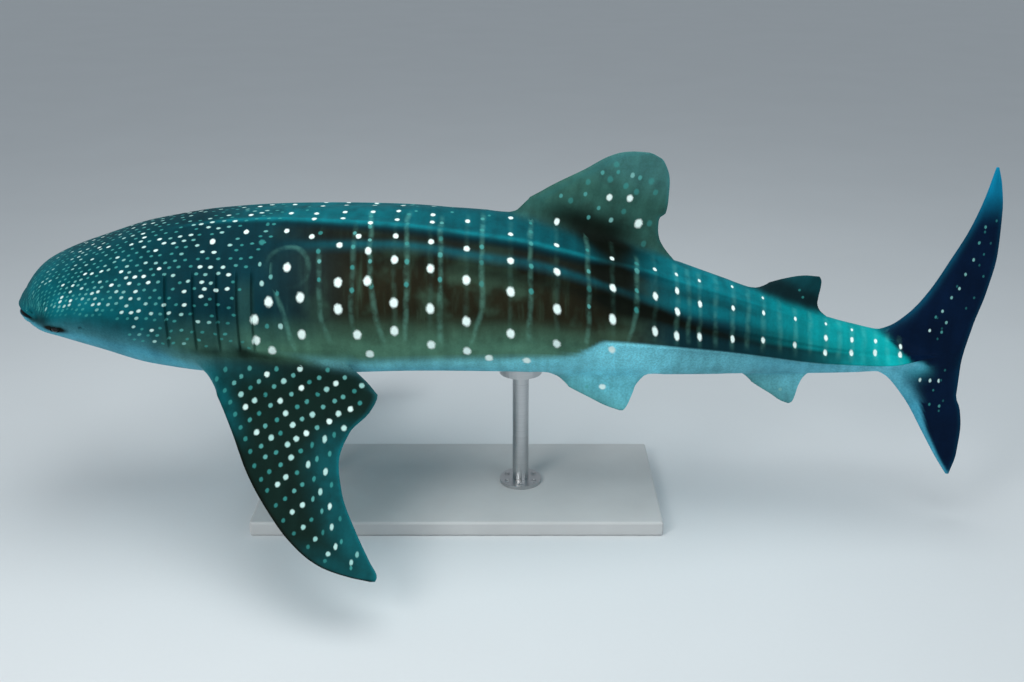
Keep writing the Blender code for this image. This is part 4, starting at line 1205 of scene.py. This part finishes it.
class Graph:
    """A short way to lay out a node tree in code."""

    def __init__(self, tree: bpy.types.NodeTree) -> None:
        """Keep the tree that the nodes go into."""
        self.tree = tree

    def node(self, kind: str, inputs: dict | None = None, **settings: object) -> bpy.types.Node:
        """Add a node.

        Args:
            kind: the node's type without the ShaderNode in front.
            inputs: a value or a socket for each named or numbered input.
            settings: the node's own properties.

        Returns:
            The new node.
        """
        made = self.tree.nodes.new("ShaderNode" + kind)
        for name, value in settings.items():
            setattr(made, name, value)
        for key, value in (inputs or {}).items():
            if isinstance(value, bpy.types.NodeSocket):
                self.tree.links.new(value, made.inputs[key])
            else:
                made.inputs[key].default_value = value
        return made

    def math(self, operation: str, *values: object, clamp: bool = False) -> bpy.types.NodeSocket:
        """Result of one Math node."""
        return self.node("Math", dict(enumerate(values)), operation=operation, use_clamp=clamp).outputs[0]

    def times(self, *values: object) -> bpy.types.NodeSocket:
        """Product of two or more values."""
        product = self.math("MULTIPLY", values[0], values[1])
        return self.times(product, *values[2:]) if len(values) > 2 else product

    def mix(self, share: object, first: object, second: object, blend: str = "MIX") -> bpy.types.NodeSocket:
        """Result of mixing two colours."""
        first, second = (v if isinstance(v, bpy.types.NodeSocket) else (*v, 1.0) for v in (first, second))
        made = self.node("Mix", {0: share, 6: first, 7: second}, data_type="RGBA", blend_type=blend)
        return made.outputs[2]

    def varied(self, colour: object, variation: bpy.types.NodeSocket) -> bpy.types.NodeSocket:
        """A colour made lighter and darker by a grey value around 1."""
        grey = self.node("CombineColor", {0: variation, 1: variation, 2: variation}).outputs[0]
        return self.mix(1.0, colour, grey, "MULTIPLY")

    def noise(self, coordinates: object, scale: float, detail: float = 2.0) -> bpy.types.NodeSocket:
        """Grey noise at a scale."""
        made = self.node("TexNoise", {"Vector": coordinates, "Scale": scale, "Detail": detail})
        return made.outputs["Fac"]

    def step(self, value: object, low: float, high: float) -> bpy.types.NodeSocket:
        """Smooth step of a value from 0 at low to 1 at high; low may be the greater."""
        turned = low > high
        made = self.node("MapRange", {0: value, 1: min(low, high), 2: max(low, high), 3: float(turned),
                                      4: float(not turned)}, interpolation_type="SMOOTHSTEP")
        return made.outputs[0]

    def attribute(self, name: str, output: str = "Fac") -> bpy.types.NodeSocket:
        """One of the mesh's own attributes."""
        return self.node("Attribute", attribute_name=name).outputs[output]


class Effects:
    """Node groups that several finishes share."""

    @staticmethod
    def grain() -> bpy.types.NodeTree:
        """Fine grain over broad mottling: a height for Bump and a variation around 1 for colours."""
        found = bpy.data.node_groups.get("surface_grain")
        if found:
            return found
        tree = bpy.data.node_groups.new("surface_grain", "ShaderNodeTree")
        for name, kind in (("Vector", "NodeSocketVector"), ("Fine Scale", "NodeSocketFloat"),
                           ("Broad Scale", "NodeSocketFloat"), ("Contrast", "NodeSocketFloat")):
            tree.interface.new_socket(name, in_out="INPUT", socket_type=kind)
        for name in ("Height", "Variation"):
            tree.interface.new_socket(name, in_out="OUTPUT", socket_type="NodeSocketFloat")
        graph = Graph(tree)
        enter, leave = tree.nodes.new("NodeGroupInput"), tree.nodes.new("NodeGroupOutput")
        fine = graph.noise(enter.outputs["Vector"], 1.0, 4.0)
        broad = graph.noise(enter.outputs["Vector"], 1.0, 5.0)
        tree.links.new(enter.outputs["Fine Scale"], fine.node.inputs["Scale"])
        tree.links.new(enter.outputs["Broad Scale"], broad.node.inputs["Scale"])
        height = graph.math("ADD", graph.times(fine, 0.35), graph.times(broad, 0.65))
        swing = graph.math("SUBTRACT", graph.math("MULTIPLY_ADD", fine, 0.4, broad), 0.7)
        tree.links.new(height, leave.inputs["Height"])
        tree.links.new(graph.math("MULTIPLY_ADD", swing, enter.outputs["Contrast"], 1.0), leave.inputs["Variation"])
        return tree

    @staticmethod
    def finish(name: str, colour: Colour, fine: float, broad: float, contrast: float, rough: tuple[float, float],
               bump: tuple[float, float], stretch: Colour = (1.0, 1.0, 1.0)) -> bpy.types.Material:
        """A plain finish whose colour, roughness and bump all come from the shared grain.

        Args:
            name: the material's name.
            colour: the mean colour.
            fine, broad, contrast: the grain's scales and how strongly it changes the colour.
            rough: roughness at height 0, and what height 1 adds to it.
            bump: strength and distance of the bump.
            stretch: scale of the grain along each axis.

        Returns:
            The material.
        """
        made = bpy.data.materials.new(name)
        made.use_nodes = True
        graph = Graph(made.node_tree)
        shader = made.node_tree.nodes["Principled BSDF"]
        place = graph.node("TexCoord").outputs["Object"]
        if stretch != (1.0, 1.0, 1.0):
            place = graph.node("Mapping", {"Vector": place, "Scale": stretch}).outputs[0]
        height, variation = Effects.add_grain(graph, place, fine, broad, contrast)
        Effects.connect(graph, shader, graph.varied(colour, variation), height, rough, bump)
        return made

    @staticmethod
    def add_grain(graph: Graph, coordinates: object, fine: float, broad: float,
                  contrast: float) -> tuple[bpy.types.NodeSocket, bpy.types.NodeSocket]:
        """Place the grain group in a material with its own values; returns its height and variation."""
        made = graph.tree.nodes.new("ShaderNodeGroup")
        made.node_tree = Effects.grain()
        graph.tree.links.new(coordinates, made.inputs["Vector"])
        for name, value in (("Fine Scale", fine), ("Broad Scale", broad), ("Contrast", contrast)):
            made.inputs[name].default_value = value
        return made.outputs["Height"], made.outputs["Variation"]

    @staticmethod
    def connect(graph: Graph, shader: bpy.types.Node, colour: bpy.types.NodeSocket, height: bpy.types.NodeSocket,
                rough: tuple[float, float], bump: tuple[float, float]) -> None:
        """Feed a shader its colour, a roughness that grows with the grain's height, and the grain as bump."""
        graph.tree.links.new(colour, shader.inputs["Base Color"])
        graph.tree.links.new(graph.math("MULTIPLY_ADD", height, rough[1], rough[0]), shader.inputs["Roughness"])
        relief = graph.node("Bump", {"Strength": bump[0], "Distance": bump[1], "Height": height})
        graph.tree.links.new(relief.outputs[0], shader.inputs["Normal"])


@dataclass(frozen=True)
class SharkSkinFinish:
    """Satin skin: dark blue-green ground with painted light on the ridges and the tail stock, painted shade below the
    ridges and under the fins, brown flank, pale belly, spots and bars.
    """

    deep: Colour = (0.0015, 0.028, 0.039)
    # LIT and STOCK are painted light; DARK is mostly painted shade; BLUE is partly painted shade of the underside; PALE
    # is the belly's own pale and also painted highlights along edges.
    colours: tuple[tuple[Ground, Colour], ...] = (
        (Ground.BROWN, (0.016, 0.012, 0.003)), (Ground.OLIVE, (0.076, 0.195, 0.132)),
        (Ground.GREEN, (0.003, 0.014, 0.011)), (Ground.GREY, (0.032, 0.110, 0.090)),
        (Ground.NAVY, (0.001, 0.008, 0.028)), (Ground.LIT, (0.002, 0.165, 0.200)),
        (Ground.STOCK, (0.002, 0.34, 0.35)), (Ground.BLUE, (0.002, 0.19, 0.33)),
        (Ground.PALE, (0.19, 0.64, 0.76)), (Ground.DARK, (0.003, 0.005, 0.003)),
        (Ground.MOUTH, (0.010, 0.016, 0.018)))
    patchy: tuple[Ground, ...] = (Ground.LIT, Ground.GREY)
    dim_spot: Colour = (0.05, 0.34, 0.32)
    bright_spot: Colour = (0.80, 0.96, 0.92)
    bar: Colour = (0.036, 0.105, 0.085)
    bar_half: float = 0.030

    def ground(self, graph: Graph, place: bpy.types.NodeSocket, chart: bpy.types.NodeSocket) -> bpy.types.NodeSocket:
        """Ground colour: each colour laid over the last by its share, the flank streaked upright.

        Args:
            graph: the material's graph.
            place: Object coordinates.
            chart: the skin's own map.

        Returns:
            The colour before bars and spots.
        """
        upright = graph.node("Mapping", {"Vector": chart, "Scale": (13.0, 2.2, 1.0)}).outputs[0]
        streak = graph.noise(upright, 1.0, 3.0)
        blotch = graph.step(graph.noise(place, 9.0, 4.0), 0.20, 0.62)
        speckle = graph.step(graph.noise(place, 70.0, 2.0), 0.36, 0.60)
        brown = graph.attribute(Ground.BROWN.value)
        colour = self.deep
        for ground, tint in self.colours:
            share = graph.attribute(ground.value)
            if ground is Ground.OLIVE:
                share = graph.times(share, graph.math("MULTIPLY_ADD", blotch, 0.30, 0.70))
                patch = graph.times(graph.step(graph.noise(place, 3.2, 3.0), 0.47, 0.68), 0.30)
                worn = graph.math("MAXIMUM", graph.times(graph.step(streak, 0.48, 0.90), 0.32), patch)
                share = graph.math("MAXIMUM", share, graph.times(brown, worn))
            elif ground in self.patchy:
                share = graph.times(share, graph.math("MULTIPLY_ADD", blotch, 0.45, 0.55))
            elif ground is Ground.PALE:
                share = graph.times(share, graph.math("MULTIPLY_ADD", speckle, 0.22, 0.78))
            colour = graph.mix(share, colour, tint)
        return graph.varied(colour, graph.math("MULTIPLY_ADD", streak, 0.7, 0.65))

    def barred(self, graph: Graph, place: bpy.types.NodeSocket, colour: bpy.types.NodeSocket) -> bpy.types.NodeSocket:
        """Soft wavering bars over the ground, broken into beads by noise."""
        bar = graph.node("SeparateXYZ", {0: graph.attribute("bar_offset", "Vector")})
        waver = graph.math("MULTIPLY_ADD", graph.noise(place, 4.0), 0.05, -0.025)
        line = graph.step(graph.math("ABSOLUTE", graph.math("ADD", bar.outputs[0], waver)), self.bar_half, 0.002)
        broken = graph.math("MULTIPLY_ADD", graph.step(graph.noise(place, 14.0, 3.0), 0.32, 0.62), 0.75, 0.25)
        return graph.mix(graph.times(line, bar.outputs[1], broken), colour, self.bar, "ADD")

    def spotted(self, graph: Graph, place: bpy.types.NodeSocket, colour: bpy.types.NodeSocket) -> bpy.types.NodeSocket:
        """Round spots with uneven edges: dim ones are teal, bright ones nearly white."""
        wobble = graph.node("TexNoise", {"Vector": place, "Scale": 45.0, "Detail": 2.0}).outputs["Color"]
        jolt = graph.node("VectorMath", {0: wobble, 1: (0.5, 0.5, 0.5)}, operation="SUBTRACT").outputs[0]
        offset = graph.attribute("spot_offset", "Vector")
        pushed = graph.node("VectorMath", {0: jolt, 1: (0.5, 0.5, 0.0), 2: offset}, operation="MULTIPLY_ADD").outputs[0]
        parts = graph.node("SeparateXYZ", {0: pushed})
        square = graph.times(parts.outputs[1], parts.outputs[1])
        reach = graph.math("SQRT", graph.math("MULTIPLY_ADD", parts.outputs[0], parts.outputs[0], square))
        tone = parts.outputs[2]
        share = graph.times(graph.step(reach, 1.3, 0.60), graph.math("MULTIPLY", tone, 1.8, clamp=True))
        return graph.mix(share, colour, graph.mix(graph.step(tone, 0.30, 1.0), self.dim_spot, self.bright_spot))

    def material(self) -> bpy.types.Material:
        """Build the material from the skin's attributes and noise on Object coordinates."""
        made = bpy.data.materials.new("shark_skin")
        made.use_nodes = True
        graph = Graph(made.node_tree)
        shader = made.node_tree.nodes["Principled BSDF"]
        place = graph.node("TexCoord").outputs["Object"]
        height, variation = Effects.add_grain(graph, place, 60.0, 5.0, 0.8)
        ground = graph.varied(self.ground(graph, place, graph.attribute("chart", "Vector")), variation)
        colour = self.spotted(graph, place, self.barred(graph, place, ground))
        Effects.connect(graph, shader, colour, height, (0.42, 0.28), (0.25, 0.004))
        shader.inputs["Specular IOR Level"].default_value = 0.04
        return made


@dataclass
class Eyes:
    """Both eyes: dark balls with a clear front and a dull ring round the pupil."""

    body: BodyForm
    radius: float = 0.0357
    sink: float = 0.018
    columns: int = 40
    rows: int = 28

    def material(self) -> bpy.types.Material:
        """Glossy eye: black pupil, grey-brown iris and dark white, by the distance from the eye's axis."""
        made = bpy.data.materials.new("eye")
        made.use_nodes = True
        graph = Graph(made.node_tree)
        shader = made.node_tree.nodes["Principled BSDF"]
        out = graph.attribute("iris_reach")
        height, variation = Effects.add_grain(graph, graph.node("TexCoord").outputs["Object"], 900.0, 160.0, 1.2)
        iris = graph.mix(graph.step(out, 0.40, 0.46), (0.001, 0.001, 0.0015), (0.006, 0.006, 0.006))
        white = graph.mix(graph.step(out, 0.66, 0.76), iris, (0.002, 0.003, 0.004))
        Effects.connect(graph, shader, graph.varied(white, variation), height, (0.05, 0.08), (0.02, 0.0002))
        shader.inputs["Coat Weight"].default_value = 0.2
        shader.inputs["Specular IOR Level"].default_value = 0.15
        return made

    def build(self, name: str, side: int, finish: bpy.types.Material) -> bpy.types.Object:
        """One eye: a ball whose front swells a little, as rings from the outer pole to the inner one.

        Args:
            name: the piece's name.
            side: -1 for the left, 1 for the right.
            finish: the eye's material.

        Returns:
            The eye's object.
        """
        centre, along, across, out = (np.array(v) for v in self.body.frame(EYE.station, EYE.angle, side))
        polar = np.linspace(0.02, math.pi - 0.02, self.rows)[:, None]
        turn = np.linspace(0.0, 2 * math.pi, self.columns, endpoint=False)[None, :]
        reach = self.radius * (1 + 0.05 * bell(polar / 0.5))
        local = (np.sin(polar) * np.cos(turn), np.sin(polar) * np.sin(turn), np.cos(polar) * np.ones_like(turn))
        middle = centre - self.sink * out
        ball = Shell.from_rings(sum((reach * part)[..., None] * axis for part, axis in zip(local, (along, across, out))))
        spread = np.linalg.norm(np.cross(ball.vertices, out), axis=1) / self.radius
        made = add_object(name, [ball.moved(middle)], [finish])
        layer = made.data.attributes.new("iris_reach", "FLOAT", "POINT")
        layer.data.foreach_set("value", spread.astype(np.float32))
        made.data.shade_smooth()
        return made


@dataclass
class Stand:
    """The plain display stand: painted base, brushed steel rods, flanges with their bolts, and saddles."""

    bolt_count: int = 6
    bolt_circle: float = 0.125
    bolt_radius: float = 0.016
    bolt_profile: Pairs = ((1.45, 0.0), (1.45, 0.0025), (1.35, 0.0035), (1.0, 0.0035), (1.0, 0.012), (0.88, 0.014))
    washer_share: float = 1.1

    def paint(self) -> bpy.types.Material:
        """Pale satin paint, rolled on, with faint soiling."""
        return Effects.finish("base_board", (0.52, 0.53, 0.53), 260.0, 2.5, 0.25, (0.35, 0.30), (0.15, 0.001))

    def steel(self) -> bpy.types.Material:
        """Brushed steel, its marks running round the rods."""
        made = Effects.finish("stand_steel", (0.50, 0.51, 0.52), 6.0, 1.0, 0.35, (0.18, 0.30), (0.2, 0.0006),
                              (3.0, 3.0, 240.0))
        made.node_tree.nodes["Principled BSDF"].inputs["Metallic"].default_value = 1.0
        return made

    def bolts(self, flange: str, finish: bpy.types.Material) -> bpy.types.Object:
        """A ring of hexagon heads on washers, standing on a flange.

        A bolt is a profile of (share of the radius, height) turned once round; above the washer the radius
        follows a hexagon, cos 30 degrees over the cosine of the turn from the nearest flat's middle.

        Args:
            flange: the CAD node that carries them.
            finish: the steel.

        Returns:
            The bolts as one joined object.
        """
        low, high = (np.array(corner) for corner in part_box(flange))
        middle = np.array([(low[0] + high[0]) / 2, (low[1] + high[1]) / 2, high[2]])
        share, height = np.array(self.bolt_profile).T[:, :, None]
        turns = np.linspace(0, 2 * math.pi, 24, endpoint=False)
        hexagon = math.cos(math.pi / 6) / np.cos((turns % (math.pi / 3)) - math.pi / 6)
        reach = share * np.where(share > self.washer_share, 1.0, hexagon) * self.bolt_radius
        bolt = Shell.from_rings(np.stack([reach * np.cos(turns), reach * np.sin(turns),
                                          np.broadcast_to(height, reach.shape)], axis=-1))
        places = 2 * math.pi * (np.arange(self.bolt_count) + 0.5) / self.bolt_count
        spots = np.stack([np.cos(places), np.sin(places), np.zeros_like(places)], axis=-1) * self.bolt_circle
        return add_object(flange.replace("stand_flange", "flange_bolts"),
                          [bolt.moved(middle + spot) for spot in spots], [finish])

    def dress(self, nodes: dict[str, bpy.types.Object]) -> list[bpy.types.Object]:
        """Give the stand's nodes their finishes and add the bolts."""
        paint, steel = self.paint(), self.steel()
        for name, node in nodes.items():
            if name.startswith("stand_"):
                node.material_slots[0].material = paint if name == "stand_base" else steel
        return [self.bolts("stand_flange_" + end, steel) for end in ("front", "rear")]


@dataclass
class Studio:
    """Pale floor, soft lights and the camera at the photograph's angle."""

    aim: tuple[float, float, float] = (0.43, 0.0, 1.35)
    distance: float = 9.5
    elevation: float = 21.0
    focal_pixels: float = 1205.0
    picture_width: float = 1024.0
    sensor: float = 36.0
    floor_half: float = 150.0

    def floor(self) -> None:
        """A wide pale floor with a faint mottle."""
        half = self.floor_half
        mesh = bpy.data.meshes.new("floor")
        mesh.from_pydata([(-half, -half, 0), (half, -half, 0), (half, half, 0), (-half, half, 0)], [], [(0, 1, 2, 3)])
        mesh.materials.append(Effects.finish("floor", (0.66, 0.69, 0.71), 30.0, 0.6, 0.06, (0.75, 0.10), (0.05, 0.001)))
        floor = bpy.data.objects.new("floor", mesh)
        bpy.context.scene.collection.objects.link(floor)

    def lamp(self, name: str, place: tuple[float, float, float], size: float, power: float, colour: Colour) -> None:
        """A square soft light aimed at the animal."""
        light = bpy.data.lights.new(name, "AREA")
        light.size, light.energy, light.color = size, power, colour
        made = bpy.data.objects.new(name, light)
        made.location = place
        made.rotation_euler = (Vector(self.aim) - Vector(place)).to_track_quat("-Z", "Y").to_euler()
        bpy.context.scene.collection.objects.link(made)

    def build(self) -> None:
        """Floor, world, lights and camera."""
        self.floor()
        world = bpy.data.worlds.new("studio")
        world.use_nodes = True
        world.node_tree.nodes["Background"].inputs["Color"].default_value = (0.85, 0.93, 1.0, 1.0)
        world.node_tree.nodes["Background"].inputs["Strength"].default_value = 0.42
        bpy.context.scene.world = world
        bpy.context.scene.view_settings.view_transform = "Standard"
        self.lamp("overhead", (0.5, -1.0, 9.0), 8.0, 480.0, (0.95, 1.0, 1.0))
        self.lamp("key", (-5.0, -8.0, 7.0), 4.0, 420.0, (1.0, 0.98, 0.95))
        self.lamp("fill", (9.0, -9.0, 5.5), 5.0, 200.0, (0.9, 0.97, 1.0))
        camera = bpy.data.objects.new("camera", bpy.data.cameras.new("camera"))
        camera.data.sensor_width = self.sensor
        camera.data.lens = self.focal_pixels / self.picture_width * self.sensor
        rise = math.radians(self.elevation)
        camera.location = Vector(self.aim) + self.distance * Vector((0, -math.cos(rise), math.sin(rise)))
        camera.rotation_euler = (math.pi / 2 - rise, 0, 0)
        camera.data.clip_end = 500
        bpy.context.scene.collection.objects.link(camera)
        bpy.context.scene.camera = camera


def main() -> None:
    """Load the frame, make the skin, the eyes and the stand's dress, and place the studio."""
    logging.basicConfig(level=logging.INFO, format="%(name)s: %(message)s")
    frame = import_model()
    body = BodyForm(SwimmingCurve())
    fins = (DORSAL, SECOND_DORSAL, ANAL, CAUDAL, pelvic(-1), pelvic(1), pectoral(-1), pectoral(1))
    skin = Skin(body, fins, Markings(body), GroundPaint(body)).build(SharkSkinFinish().material())
    flesh = [name for name in frame["nodes"] if not name.startswith(("stand_", "eye_"))]
    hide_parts(*flesh)
    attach(skin, "root")
    log.info("skin: %d faces for %d nodes", len(skin.data.polygons), len(flesh))
    eyes = Eyes(body)
    eye_finish = eyes.material()
    for side, name in ((-1, "left"), (1, "right")):
        eye = eyes.build("eyeball_" + name, side, eye_finish)
        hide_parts("eye_" + name)
        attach(eye, "root")
        log.info("eye on the %s", name)
    for bolts in Stand().dress(frame["nodes"]):
        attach(bolts, "root")
        log.info("%s", bolts.name)
    Studio().build()


if __name__ == "__main__":
    main()
